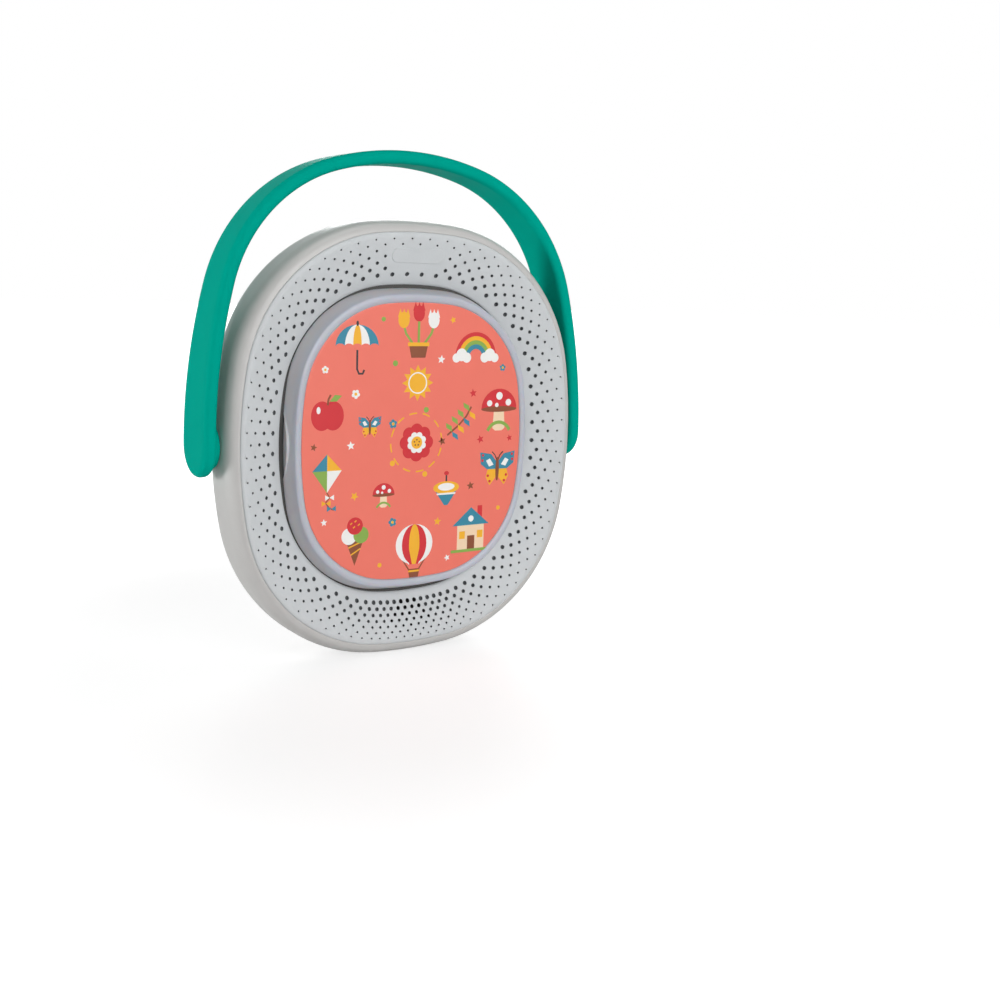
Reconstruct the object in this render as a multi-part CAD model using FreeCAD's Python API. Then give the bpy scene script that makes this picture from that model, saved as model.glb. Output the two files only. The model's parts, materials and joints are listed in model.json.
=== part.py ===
import FreeCAD, Part
import math
import os

# Audio story player for small children: a pebble-shaped housing that stands on its edge,
# a dished front cover with a dimpled grille, a story disc held by magnets in the cover's
# well, and a carrying handle on two friction pivots.
# Millimetres. +X is right, +Y is back, +Z is up. The origin is at the middle of the box's
# bottom. A depth is counted from the front plane, towards the back. x and z of a round or
# square piece are counted from the housing's middle.

# ---------------------------------------------------------------- driving dimensions
half_width = 90.2            # housing, at its widest
tall = 1.104                 # every outline is this much taller than wide
depth = 37.0                 # front plane to back wall
land_cut = 0.5               # flat land that the housing stands on, cut this deep
wall = 2.4                   # housing and cover wall
back_wall = 3.0
front_round = (4.6, 8.2)     # housing's front edge: how far in, and how deep
back_round = (16.0, 21.0)    # housing's back edge: how far in, and how deep

cover_inset = 4.9            # front cover's edge inside the housing's outline, and its depth
cover_edge = 1.1
crest_inset = 1.8            # from that edge to where the cover comes furthest forward
crest_depth = 0.2
skirt_depth = 7.0            # cover's skirt inside the housing
well_half_width = 64.4       # mouth of the disc's well, and its depth
well_depth = 9.0

grille_rows = 7
grille_inner = (4.2, 5.74)   # innermost row of holes: how far outside the well, and its depth
grille_outer = (0.8, 0.35)   # outermost row: how far inside the crest, and its depth
hole_radius = (1.1, 0.5)     # innermost and outermost row
through_holes = (3, 4, 5, 6, 5, 4, 3)   # at the speaker, in each row from the inside
dimple_depth = 1.5           # blind holes
badge_half_width = 15.0      # smooth patch at the top of the grille, in these rows
badge_rows = (2, 5)

disc_gap = 1.4               # between the story disc's base and the well
disc_base = 8.7              # depth of its underside
disc_wall = 3.0
disc_flare = 2.6             # the disc's rim is this much inside its base
rim_width = 3.0              # from the rim's outside to the label
label_depth = 0.8
label_thickness = 0.25
membrane = 1.2
notch_width = 28.5           # finger notches at the middle of each side
notch_height = 4.5

deck_thickness = 2.0
deck_lap = 1.0               # key deck is this much wider than the well
key_radius = 5.2
key_top = 7.0
key_edge = 0.5
key_inset = (12.4, 13.4)     # ring of keys inside the label's half width and half height
ring_keys = 12
key_travel = 0.8
flange = (1.2, 1.0)          # key flange: wider than the cap, and how thick
press_gap = 0.4              # between a stub of the disc and its key
stub_radius = 4.5
magnet_radius, magnet_height = 4.0, 2.0
magnet_inset = 22.0          # magnets, from the disc's half width, each way
magnet_wall = 1.2

board_front = 14.0
board_thickness = 1.6
board_margin = 9.0           # board outside the ring of keys
post_inset, post_gap = 11.0, 2.6        # board posts beside the magnets and above the battery tray
post_radius = 3.5
switch_size, switch_height = 6.0, 0.8

speaker_radius = 14.2
speaker_front = 12.4
chamber_radius = 9.8
chamber_wall = 1.4
speaker_gap = 0.6            # between the speaker and the housing's wall
gasket = 0.6
ear_out, ear_down = 4.4, 3.0            # bracket ears: outside the speaker, below its axis
ear_radius = 3.4

cell_radius, cell_length, cell_gap = 7.1, 50.5, 1.4
spring_room = 8.0
plate = 0.6
tray_wall = 1.5
tray_floor = 1.2
door_lap = 2.0               # the door is this much larger than its opening
door_thickness = 1.8
door_boss = 3.4
door_tab = 4.8

handle_reach = 8.8           # handle's outside, beside the housing and above it
handle_rise = 30.2
handle_thickness = 5.9
handle_width = (26.9, 21.1)  # band at the pivots and at the top
handle_bevel = 1.4
handle_shape = (0.773, 14.8, 74.1)
pivot_back = 1.0             # pivots behind the middle plane, and above the middle
pivot_rise = 0.4
hub_radius = 10.0
journal_radius = 5.0
bush_radius = 7.2
collar_length = 12.0
collar_wall = 2.4
washer = (8.6, 1.5)          # radius and thickness

screw_radius, head_radius, head_height = 1.45, 2.8, 2.0
small_screw_radius, small_head_radius, small_head_height = 1.0, 2.2, 1.4
case_screw_angles = (38.0, 112.0, 160.0)    # from straight down, each side
case_screw_inset = 8.8       # inside the cover's edge
case_screw_sunk = 11.0       # heads, from the back

slider_rise = 62.0           # power slider above the middle, on the back
slider_travel = 6.0
slider_neck = (4.6, 4.0)
slider_pad = (7.0, 6.4, 1.0)
slider_plate = (14.0, 8.0, 0.9)

# clearances
running = 0.05               # journals and screws in their bores, on the radius
touch = 0.1                  # between faces that pass or nearly meet
seat = 0.2                   # between a piece and its loose seat
play = 0.35                  # round keys and door
side_gap = 0.4               # between a hub of the handle and the housing

# ---------------------------------------------------------------- derived
front = -depth / 2
half_height = half_width * tall
middle = half_height - land_cut
inner_floor = depth - back_wall
cover_half_width = half_width - cover_inset
crest_half_width = cover_half_width - crest_inset
disc_half_width = well_half_width - disc_gap
rim_half_width = disc_half_width - disc_flare
label_half_width = rim_half_width - rim_width
key_ring = (label_half_width - key_inset[0], label_half_width * tall - key_inset[1])
magnet_place = (disc_half_width - magnet_inset, disc_half_width - magnet_inset)
board_half_width = key_ring[0] + board_margin
body_shape = (0.838, 9.9, 84.7)    # corner radius over half width, ends of the corner arc
disc_shape = (0.785, 8.4, 84.9)
bed_depth = label_depth + label_thickness
deck_under = well_depth + deck_thickness
board_back = board_front + board_thickness
switch_top = board_front - switch_height
plate_depth = inner_floor - touch - slider_plate[2]
cell_pitch = 2 * cell_radius + cell_gap
tray_width = cell_length + spring_room + 4 * plate
tray_height = 3 * cell_pitch + door_lap
cell_depth = depth - door_thickness - seat - cell_radius
tray_front = cell_depth - cell_radius - seat - tray_floor
board_post = (magnet_place[0] - post_inset, tray_height / 2 + tray_wall + post_gap + post_radius)
handle_half_width = half_width + handle_reach
handle_top = half_height + handle_rise
pivot_depth = depth / 2 + pivot_back
case_screw_head = depth - case_screw_sunk
case_screw_half_width = cover_half_width - case_screw_inset
grille_middle = (well_half_width + grille_inner[0] + crest_half_width - grille_outer[0]) / 2
chamber_drop = grille_middle * tall + 0.2
speaker_drop = (cover_half_width + touch) * tall - speaker_radius - speaker_gap
ear_drop = speaker_drop + ear_down
ear_reach = speaker_radius + ear_out
door_screw_rise = tray_height / 2 + tray_wall + seat + door_boss
collar_end = half_width - collar_length
V = FreeCAD.Vector
Y = V(0, 1, 0)
nodes = {}


# ---------------------------------------------------------------- outlines and solids
def squircle_point(angle, a, b, shape):
    """Point whose normal points at angle, on an outline of eight tangent arcs."""
    share, low, high = shape
    corner = share * a
    c1, s1 = math.cos(math.radians(high)), math.sin(math.radians(high))
    c2, s2 = math.cos(math.radians(low)), math.sin(math.radians(low))
    det = c1 * s2 - (1 - c2) * (1 - s1)
    u = ((a - corner) * s2 - (b - corner) * (1 - c2)) / det
    v = ((b - corner) * c1 - (a - corner) * (1 - s1)) / det
    angle = math.radians(angle)
    c, s = math.cos(angle), math.sin(angle)
    turn = math.degrees(math.atan2(abs(s), abs(c)))
    if turn < low:
        x = a - v - corner + (v + corner) * abs(c)
        z = (v + corner) * abs(s)
    elif turn > high:
        x = (u + corner) * abs(c)
        z = b - u - corner + (u + corner) * abs(s)
    else:
        x = u * c1 + corner * abs(c)
        z = v * s2 + corner * abs(s)
    return math.copysign(x, c), math.copysign(z, s)


def ring_point(angle, a):
    """Point of the outline of half width a that is seen from the middle at angle, from straight down."""
    low, high = -90.0, 90.0
    for _ in range(40):
        guess = (low + high) / 2
        x, z = squircle_point(guess, a, a * tall, body_shape)
        if math.degrees(math.atan2(x, -z)) < abs(angle):
            low = guess
        else:
            high = guess
    return math.copysign(x, angle), z


def outline(a, t, shape, cuts=(1, 1)):
    """Arcs of the outline of half width a at depth t: its flat and its corner arcs, cut into equal parts."""
    low, high = shape[1], shape[2]
    ends = [-low, low, high, 180 - high, 180 - low, 180 + low, 180 + high, 360 - high, 360 - low]
    stops = []
    for i, (start, end) in enumerate(zip(ends, ends[1:])):
        parts = cuts[i % 2]
        stops += [start + (end - start) * j / parts for j in range(parts)]
    stops.append(ends[-1])
    edges = []
    for start, end in zip(stops, stops[1:]):
        spots = [squircle_point(g, a, a * tall, shape) for g in (start, (start + end) / 2, end)]
        edges.append(Part.Arc(*[V(x, front + t, middle + z) for x, z in spots]).toShape())
    return edges


def skin(profile, shape=body_shape, ring=False, cuts=(1, 1)):
    """Solid through outlines given as half width and depth. A ring's last outline meets its first."""
    outlines = [outline(a, t, shape, cuts) for a, t in profile]
    pairs = list(zip(outlines, outlines[1:] + outlines[:1] if ring else outlines[1:]))
    faces = [Part.makeRuledSurface(e, f) for first, second in pairs for e, f in zip(first, second)]
    if not ring:
        faces += [Part.Face(Part.Wire(outlines[0])), Part.Face(Part.Wire(outlines[-1]))]
    shell = Part.makeShell(faces)
    shell.sewShape()
    solid = Part.makeSolid(shell)
    if solid.Volume < 0:
        solid.reverse()
    return solid


def slab(a, t0, t1, shape=body_shape):
    return Part.Face(Part.Wire(outline(a, t0, shape))).extrude(V(0, t1 - t0, 0))


def rod(radius, t0, t1, x=0.0, z=0.0):
    """Cylinder along Y between two depths."""
    return Part.makeCylinder(radius, t1 - t0, V(x, front + t0, middle + z), Y)


def cone(r0, r1, t0, t1, x=0.0, z=0.0):
    return Part.makeCone(r0, r1, t1 - t0, V(x, front + t0, middle + z), Y)


def block(width, height, t0, t1, x=0.0, z=0.0, corner=0.0):
    """Box between two depths, centred on x and z, its edges along Y rounded."""
    box = Part.makeBox(width, t1 - t0, height, V(x - width / 2, front + t0, middle + z - height / 2))
    if corner:
        box = box.makeFillet(corner, [e for e in box.Edges if abs(e.tangentAt(e.FirstParameter).y) > 0.9])
    return box


def side_rod(radius, x0, x1, t, z):
    """Cylinder along X from x0 to x1."""
    foot = V(x0, front + t, middle + z)
    return Part.makeCylinder(radius, abs(x1 - x0), foot, V(math.copysign(1, x1 - x0), 0, 0))


def pivot_rod(radius, side, x0, x1):
    """Cylinder on the handle's axis, between two distances from the middle plane."""
    return side_rod(radius, side * x0, side * x1, pivot_depth, pivot_rise)


def joined(solids):
    solids = list(solids)
    return solids[0].multiFuse(solids[1:]).removeSplitter()


def group(solids):
    return Part.makeCompound(list(solids))


def arc_profile(centre, reach, start, end, steps):
    """Points of an elliptic arc in the plane of half width and depth."""
    for i in range(steps + 1):
        turn = math.radians(start + (end - start) * i / steps)
        yield centre[0] + reach[0] * math.sin(turn), centre[1] + reach[1] * math.cos(turn)


def corners(place):
    """The four places that mirror one place."""
    return [(sx * place[0], sz * place[1]) for sx in (-1, 1) for sz in (-1, 1)]


# ---------------------------------------------------------------- stations of the grille
def station_step(angle):
    """Angle between neighbouring holes: fine at the speaker, coarse elsewhere."""
    coarse = 6.03 - 0.85 * math.cos(math.radians(2 * angle)) + 0.62 * math.cos(math.radians(4 * angle))
    fine, fine_until, coarse_from = 2.75, 11.0, 31.0
    blend = min(1.0, max(0.0, (angle - fine_until) / (coarse_from - fine_until)))
    return fine + (coarse - fine) * blend


def stations():
    """Angles of the holes on one side, at whole and half steps, from straight down to the top."""
    whole = [0.0]
    while whole[-1] < 180:
        whole.append(whole[-1] + station_step(whole[-1]))
    stretch = 180.0 / (whole[-2] + station_step(whole[-2]) / 2)
    whole = [w * stretch for w in whole[:-1]]
    halves = [(p + q) / 2 for p, q in zip(whole, whole[1:])]
    return whole, halves


def grille_row(row):
    """Half width and depth of a row, the first one innermost: the dish is slightly hollow."""
    share = (row - 1) / (grille_rows - 1)
    a0, a1 = well_half_width + grille_inner[0], crest_half_width - grille_outer[0]
    t0, t1 = grille_inner[1], grille_outer[1]
    return a0 + (a1 - a0) * share * (1.1 - 0.1 * share), t0 + (t1 - t0) * share * (1.28 - 0.28 * share)


def holes():
    """Every hole as x, z, depth of the surface, radius, and whether it goes through to the speaker."""
    whole, halves = stations()
    for row, count in enumerate(through_holes, 1):
        a, t = grille_row(row)
        radius = hole_radius[0] + (hole_radius[1] - hole_radius[0]) * (row - 1) / (grille_rows - 1)
        side = whole if row % 2 else halves + [180.0]
        angles = sorted({s * g for g in side for s in (1, -1) if s * g > -180.0}, key=abs)
        for i, angle in enumerate(angles):
            x, z = ring_point(angle, a)
            badge = z > 0 and abs(x) < badge_half_width and badge_rows[0] <= row <= badge_rows[1]
            if not badge:
                yield x, z, t, radius, i < count


def drill(x, z, t0, t1, r0, r1, sides):
    """Prism or pyramid along Y, of radius r0 at depth t0 and r1 at t1."""
    turns = [math.radians(360.0 * i / sides) for i in range(sides)]
    base, top = [[V(x + r * math.cos(g), front + t, middle + z + r * math.sin(g)) for g in turns]
                 for r, t in ((r0, t0), (r1, t1))]
    if r1 == 0:
        walls = [[base[i], base[i - 1], top[0]] for i in range(sides)]
        ends = [base]
    else:
        walls = [[base[i], base[i - 1], top[i - 1], top[i]] for i in range(sides)]
        ends = [base, top]
    return Part.makeSolid(Part.makeShell([Part.Face(Part.makePolygon(w + w[:1])) for w in walls + ends]))


# ---------------------------------------------------------------- front cover
def dish_front():
    """Half widths and depths of the dish, from the crest to the well's mouth, creased between rows."""
    rows = [grille_row(r + 0.5) for r in range(grille_rows - 1, -1, -1)]
    mouth = [(well_half_width + 1.3, 7.3), (well_half_width, well_depth)]
    return [(crest_half_width, crest_depth)] + rows + mouth


def dish_back(drop):
    """The same surface, drop deeper, between the outermost and the innermost row."""
    return [(a - 0.3 * drop, t + drop) for a, t in (grille_row(r) for r in (grille_rows, 5, 3, 1))]


def front_cover():
    a, inside = cover_half_width, cover_half_width - wall
    edge = [(a, skirt_depth), (a, cover_edge + 0.7), (a - 0.25, cover_edge), (a - 0.9, crest_depth + 0.25)]
    back = [(well_half_width + wall, well_depth)] + dish_back(wall + 0.4)[::-1]
    back += [(inside, wall + 1.2), (inside, skirt_depth)]
    body = skin(edge + dish_front() + back, ring=True, cuts=(2, 6))
    drills = []
    for x, z, t, radius, through in holes():
        if through:
            drills.append(drill(x, z, t - wall, t + 2 * wall, radius, radius, 6))
        else:
            drills.append(drill(x, z, t - dimple_depth, t + dimple_depth, 2 * radius, 0, 4))
    body = body.cut(drills)
    front_room = skin(dish_back(wall / 2) + [(well_half_width, well_depth)])
    chamber = rod(chamber_radius + chamber_wall, wall / 2, speaker_front - gasket, 0, -chamber_drop)
    chamber = chamber.cut(rod(chamber_radius, 0, speaker_front, 0, -chamber_drop))
    chamber = chamber.common(slab(inside + touch, 0, speaker_front))
    chamber = chamber.cut(slab(well_half_width + deck_lap + play, 0, speaker_front))
    bosses = [rod(post_radius, wall, case_screw_head - 6.0, x, z) for x, z in case_screw_places()]
    bosses += [rod(ear_radius - 0.6, wall, speaker_front + 1.0, x, -ear_drop)
               for x in (-ear_reach, ear_reach)]
    body = joined([body] + [part.cut(front_room) for part in bosses + [chamber]])
    cuts = [rod(screw_radius + running, 8.0, case_screw_head, x, z) for x, z in case_screw_places()]
    cuts += [rod(small_screw_radius + running, 7.0, speaker_front + 2, x, -ear_drop)
             for x in (-ear_reach, ear_reach)]
    return body.cut(cuts)


def case_screw_places():
    return [ring_point(side * angle, case_screw_half_width)
            for angle in case_screw_angles for side in (1, -1)]


# ---------------------------------------------------------------- rear housing
def housing_outside():
    rim = half_width - front_round[0]
    points = [(cover_half_width + touch, cover_edge)]
    points += arc_profile((rim, front_round[1] + cover_edge), (front_round[0], -front_round[1]), 20, 90, 3)
    points += arc_profile((half_width - back_round[0], depth - back_round[1]), back_round, 90, 0, 4)
    return skin(points)


def housing_inside():
    straight = cover_half_width + touch
    centre = (half_width - back_round[0], depth - back_round[1])
    reach = (back_round[0] - wall, back_round[1] - back_wall)
    meets = math.degrees(math.asin(min(1.0, (straight - centre[0]) / reach[0])))
    return skin([(straight, 0.0)] + list(arc_profile(centre, reach, meets, 0, 3)))


def rear_housing():
    body = housing_outside().cut(housing_inside())
    adds = [rod(post_radius + 0.8, case_screw_head - 6.0 + seat, inner_floor + 0.5, x, z)
            for x, z in case_screw_places()]
    adds += [rod(post_radius, board_back, inner_floor + 0.5, x, z) for x, z in corners(board_post)]
    adds += [rod(2.5, plate_depth - 5.5, inner_floor + 0.5, x, slider_rise) for x in (-15.0, 15.0)]
    adds.append(rod(door_boss, inner_floor - 6.0, inner_floor + 0.5, 0, door_screw_rise))
    adds += [pivot_rod(bush_radius + collar_wall, s, collar_end + touch, half_width - 1.5) for s in (-1, 1)]
    body = joined([body] + adds)
    cuts = [rod(screw_radius + seat, case_screw_head - 7, depth + 1, x, z) for x, z in case_screw_places()]
    cuts += [rod(head_radius + seat, case_screw_head, depth + 1, x, z) for x, z in case_screw_places()]
    cuts += [rod(screw_radius + running, board_front, board_back + 9.0, x, z)
             for x, z in corners(board_post)]
    cuts += [pivot_rod(bush_radius, s, collar_end - 1, half_width + 2) for s in (-1, 1)]
    cuts.append(block(tray_width, tray_height, inner_floor - 1, depth + 1, corner=3))
    cuts.append(door_plate(play, depth + 1))
    cuts.append(rod(screw_radius + running, inner_floor - 7, depth, 0, door_screw_rise))
    cuts.append(block(20, 9, depth - 1.2, depth + 1, 0, slider_rise, corner=4.4))
    cuts.append(block(slider_neck[0] + slider_travel + 1.0, slider_neck[1] + 0.6, inner_floor - 1, depth + 1,
                      0, slider_rise, corner=2.2))
    cuts.append(Part.makeBox(2 * half_width, 2 * depth, 10, V(-half_width, -depth, -10)))
    return body.cut(cuts)


def door_plate(gap, back):
    """Outline of the battery door, gap larger all round, with the tab of its screw."""
    width, height = tray_width + 2 * door_lap, tray_height + 2 * door_lap
    less = 2 * (play - gap)
    face = block(width - less, height - less, depth - door_thickness, back, corner=4)
    return joined([face, rod(door_tab + gap - play, depth - door_thickness, back, 0, door_screw_rise)])


# ---------------------------------------------------------------- story disc
def key_places():
    ring = [ring_point(360.0 / ring_keys * i, key_ring[1] / tall) for i in range(7)]
    ring = [(x * key_ring[0] * tall / key_ring[1], z) for x, z in ring]
    mirrored = [(-x, z) for x, z in ring[5:0:-1]]
    return [(0.0, 0.0)] + ring + mirrored


def story_disc():
    a, rim = disc_half_width, rim_half_width
    outside = [(a, disc_base), (a - 0.1, disc_base - 0.7), (rim + 1.2, 4.5), (rim + 0.6, 1.4), (rim, 0.4),
               (rim - 0.8, 0.0)]
    body = skin(outside, disc_shape)
    bed = label_half_width + seat
    tray = [(rim - 1.6, -0.05), (bed + 0.25, label_depth - 0.3), (bed, bed_depth)]
    body = body.cut(skin(tray, disc_shape))
    under = bed_depth + membrane
    body = body.cut(skin([(rim - disc_wall, under), (a - disc_wall, disc_base + 1)], disc_shape))
    adds = [rod(stub_radius, under - 0.2, key_top - press_gap, x, z) for x, z in key_places()]
    adds += [rod(magnet_radius + magnet_wall, under - 0.2, disc_base - seat, x, z)
             for x, z in corners(magnet_place)]
    body = joined([body] + adds)
    cuts = [rod(magnet_radius + running, disc_base - seat - magnet_height, disc_base + 1, x, z)
            for x, z in corners(magnet_place)]
    radius = (notch_width ** 2 / 4 + notch_height ** 2) / (2 * notch_height)
    centre = disc_base + radius - notch_height
    reach = disc_half_width - disc_wall - 2
    for side in (-1, 1):
        cuts.append(side_rod(radius, side * reach, side * (reach + 12), centre, 0))
        foot = V(0, front + centre, middle + side * reach * tall)
        cuts.append(Part.makeCylinder(radius, 12, foot, V(0, 0, side)))
    return body.cut(cuts)


def disc_label():
    return slab(label_half_width, label_depth, bed_depth, disc_shape)


# ---------------------------------------------------------------- deck, keys, boards
def key_deck():
    body = slab(well_half_width + deck_lap, well_depth, deck_under)
    pocket = well_depth + 0.8
    pads = [rod(magnet_radius + magnet_wall, well_depth + touch, pocket + magnet_height + 0.6, x, z)
            for x, z in corners(magnet_place)]
    cuts = [rod(key_radius + play, well_depth - 1, deck_under + 1, x, z) for x, z in key_places()]
    cuts += [rod(magnet_radius + running, pocket, deck_under + 3, x, z) for x, z in corners(magnet_place)]
    return joined([body] + pads).cut(cuts)


def key(x, z):
    """Cap with a bevelled edge, the flange behind the deck, and the plunger over its switch."""
    rim = deck_under + touch
    cap = joined([cone(key_radius - key_edge, key_radius, key_top, key_top + key_edge, x, z),
                  rod(key_radius, key_top + key_edge, rim + 0.1, x, z)])
    back = rod(key_radius + flange[0], rim, rim + flange[1], x, z)
    plunger = block(3.0, 3.0, rim, switch_top - key_travel - touch, x, z)
    return joined([cap, back, plunger])


def main_board():
    body = slab(board_half_width, board_front, board_back)
    return body.cut([rod(screw_radius + seat, 10, 20, x, z) for x, z in corners(board_post)])


def board_chips():
    back = board_back
    z = tray_height / 2 + tray_wall + 6.0
    chips = [block(10, 9, back, back + 1.4, -9, z), block(8, 6, back, back + 1.2, 12, z),
             block(6, 5, back, back + 1.2, -22, -z), block(5, 5, back, back + 1.0, 12, -z)]
    return group(chips + [rod(2.5, back, back + 3.2, x, -z) for x in (-12, -4)])


def screw(x, z, seat_at, tip_at):
    """Pan screw along Y: its head lies on seat_at, on the side away from its tip."""
    shank = rod(screw_radius, min(seat_at, tip_at), max(seat_at, tip_at), x, z)
    back = seat_at - head_height if tip_at > seat_at else seat_at
    return joined([shank, rod(head_radius, back, back + head_height, x, z)])


# ---------------------------------------------------------------- speaker
def speaker():
    t, z = speaker_front, -speaker_drop
    washer_hole = rod(chamber_radius, t - 1, t + 1, 0, -chamber_drop + 1.2)
    nodes["speaker_gasket"] = rod(speaker_radius, t - gasket, t, 0, z).cut(washer_hole)
    basket = joined([rod(speaker_radius, t, t + 1.2, 0, z), cone(12.0, 8.8, t + 0.8, t + 4.6, 0, z),
                     rod(8.8, t + 4.5, t + 5.2, 0, z)])
    inside = cone(11.4, 7.6, t - 0.05, t + 4.2, 0, z)
    nodes["speaker_frame"] = basket.cut([inside, rod(3.0, t + 4, t + 6, 0, z)])
    nodes["speaker_magnet"] = rod(7.6, t + 5.2, t + 9.0, 0, z)
    paper = cone(10.6, 5.0, t + 0.3, t + 2.6, 0, z).cut(cone(10.3, 4.6, t + 0.2, t + 2.4, 0, z))
    cap = cone(2.4, 4.6, t + 0.9, t + 2.5, 0, z)
    surround = rod(10.9, t + 0.1, t + 0.4, 0, z).cut(rod(10.2, t, t + 1, 0, z))
    nodes["speaker_cone"] = joined([paper, cap, surround])
    ring = rod(speaker_radius - 0.4, t + 1.2, t + 2.6, 0, z)
    strap = block(2 * (ear_reach + ear_radius), 2 * ear_radius, t + 1.2, t + 2.6, 0, -ear_drop,
                  corner=ear_radius - 0.1)
    holes = [rod(small_screw_radius + seat, t, t + 4, x, -ear_drop) for x in (-ear_reach, ear_reach)]
    nodes["speaker_bracket"] = joined([ring, strap]).cut(holes + [cone(12.2, 8.9, t + 0.8, t + 4.6, 0, z)])
    shanks = [rod(small_screw_radius, t - 4.0, t + 2.6, x, -ear_drop) for x in (-ear_reach, ear_reach)]
    heads = [rod(small_head_radius, t + 2.6, t + 2.6 + small_head_height, x, -ear_drop)
             for x in (-ear_reach, ear_reach)]
    nodes["speaker_screws"] = group(joined(pair) for pair in zip(shanks, heads))


# ---------------------------------------------------------------- battery bay
def battery_bay():
    """Tray, three cells laid in turn, and their contacts. Every second cell points the other way."""
    tray = block(tray_width + 2 * tray_wall, tray_height + 2 * tray_wall, tray_front, inner_floor, corner=3)
    tray = tray.cut(block(tray_width, tray_height, tray_front + tray_floor, inner_floor + 1, corner=1.5))
    rib = tray_front + tray_floor
    ribs = [block(cell_length - 12, 1.2, rib - touch, rib + 5, 0, s * cell_pitch / 2) for s in (-1, 1)]
    nodes["battery_tray"] = joined([tray] + ribs)
    springs, plates = [], []
    tip = tray_width / 2 - plate - seat
    nub = 1.2
    for i, side in enumerate((-1, 1, -1)):
        z = (i - 1) * cell_pitch
        can = side_rod(cell_radius, side * (tip - nub), side * (tip - cell_length), cell_depth, z)
        cap = side_rod(2.7, side * (tip - nub - touch), side * tip, cell_depth, z)
        nodes["cell_%d" % (i + 1)] = joined([can, cap])
        far = tray_width / 2 - plate
        reach = far - (cell_length - tip)
        foot = V(-side * far, front + cell_depth, middle + z)
        springs.append(Part.makeCone(4.6, 2.8, reach, foot, V(side, 0, 0)))
        for end in (-1, 1):
            x = end * (tray_width / 2 - plate / 2)
            plates.append(block(plate, 11, rib + 1.2, inner_floor - 1.5, x, z))
    nodes["contact_springs"] = group(springs)
    nodes["contact_plates"] = group(plates)


def battery_door():
    body = door_plate(0.0, depth)
    grips = [block(14, 0.9, depth - 0.6, depth + 1, 0, -tray_height / 2 + 4 + 2.2 * i) for i in range(3)]
    head_seat = depth - door_thickness / 2
    z = door_screw_rise
    nodes["battery_door"] = body.cut(grips + [rod(screw_radius + seat, depth - 3, depth + 1, 0, z),
                                              rod(head_radius + seat, head_seat, depth + 1, 0, z)])
    nodes["door_screw"] = joined([rod(screw_radius, inner_floor - 5.0, head_seat, 0, z),
                                  rod(head_radius, head_seat, depth - touch, 0, z)])


# ---------------------------------------------------------------- power slider
def power_slider():
    x, z = -slider_travel / 2, slider_rise
    inside = block(slider_plate[0], slider_plate[1], plate_depth, plate_depth + slider_plate[2], x, z,
                   corner=1)
    neck = block(*slider_neck, plate_depth + 0.5, depth - 0.5, x, z, corner=1.8)
    pad = block(slider_pad[0], slider_pad[1], depth - touch - slider_pad[2], depth - touch, x, z, corner=1.8)
    ridges = [block(0.6, 5.0, depth - 0.4, depth + 1, x - 1.8 + 1.2 * i, z) for i in range(4)]
    nodes["power_slider"] = joined([inside, neck, pad]).cut(ridges)
    nodes["power_switch"] = block(13, 7, plate_depth - 5.5, plate_depth - seat, 0, z, corner=0.6)
    nodes["switch_board"] = block(40, 12, plate_depth - 6.7, plate_depth - 5.5, 0, z, corner=1.5)


# ---------------------------------------------------------------- handle
def arch(inset, y):
    """Five arcs of the band's arch, seen from the front, inset from its outside."""
    low, high = handle_shape[1], handle_shape[2]
    stops = [0, low, high, 180 - high, 180 - low, 180]
    edges = []
    for start, end in zip(stops, stops[1:]):
        spots = []
        for angle in (start, (start + end) / 2, end):
            x, z = squircle_point(angle, handle_half_width, handle_top, handle_shape)
            turn = math.radians(angle)
            spots.append(V(x - inset * math.cos(turn), y, middle + z - inset * math.sin(turn)))
        edges.append(Part.Arc(*spots).toShape())
    return edges


def handle():
    y = -2 * depth
    outside, inside = handle_half_width, handle_half_width - handle_thickness
    foot = middle - handle_width[0]
    legs = []
    for side in (-1, 1):
        corner = [V(side * outside, y, middle), V(side * outside, y, foot), V(side * inside, y, foot),
                  V(side * inside, y, middle)]
        legs += [Part.makeLine(p, q) for p, q in zip(corner, corner[1:])]
    wire = Part.Wire(Part.__sortEdges__(arch(0, y) + arch(handle_thickness, y) + legs))
    band = Part.Face(wire).extrude(V(0, 4 * depth, 0))
    y0 = front + pivot_depth
    low, high = handle_width[0] / 2, handle_width[1] / 2
    pivot, top = middle + pivot_rise, middle + handle_top + 5
    x = -outside - 5
    side = [V(x, y0 - low, pivot), V(x, y0 - high, top), V(x, y0 + high, top), V(x, y0 + low, pivot)]
    edges = [Part.makeLine(p, q) for p, q in zip(side, side[1:])]
    edges.append(Part.Arc(side[3], V(x, y0, pivot - low), side[0]).toShape())
    band = band.common(Part.Face(Part.Wire(edges)).extrude(V(2 * outside + 10, 0, 0)))
    band = band.makeChamfer(handle_bevel, band.Edges)
    adds = [pivot_rod(hub_radius, s, half_width + side_gap, inside + 1) for s in (-1, 1)]
    adds += [pivot_rod(journal_radius, s, collar_end, inside + 1) for s in (-1, 1)]
    cuts = [pivot_rod(screw_radius + running, s, collar_end - 1, half_width - 1) for s in (-1, 1)]
    return joined([band] + adds).cut(cuts)


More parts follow.
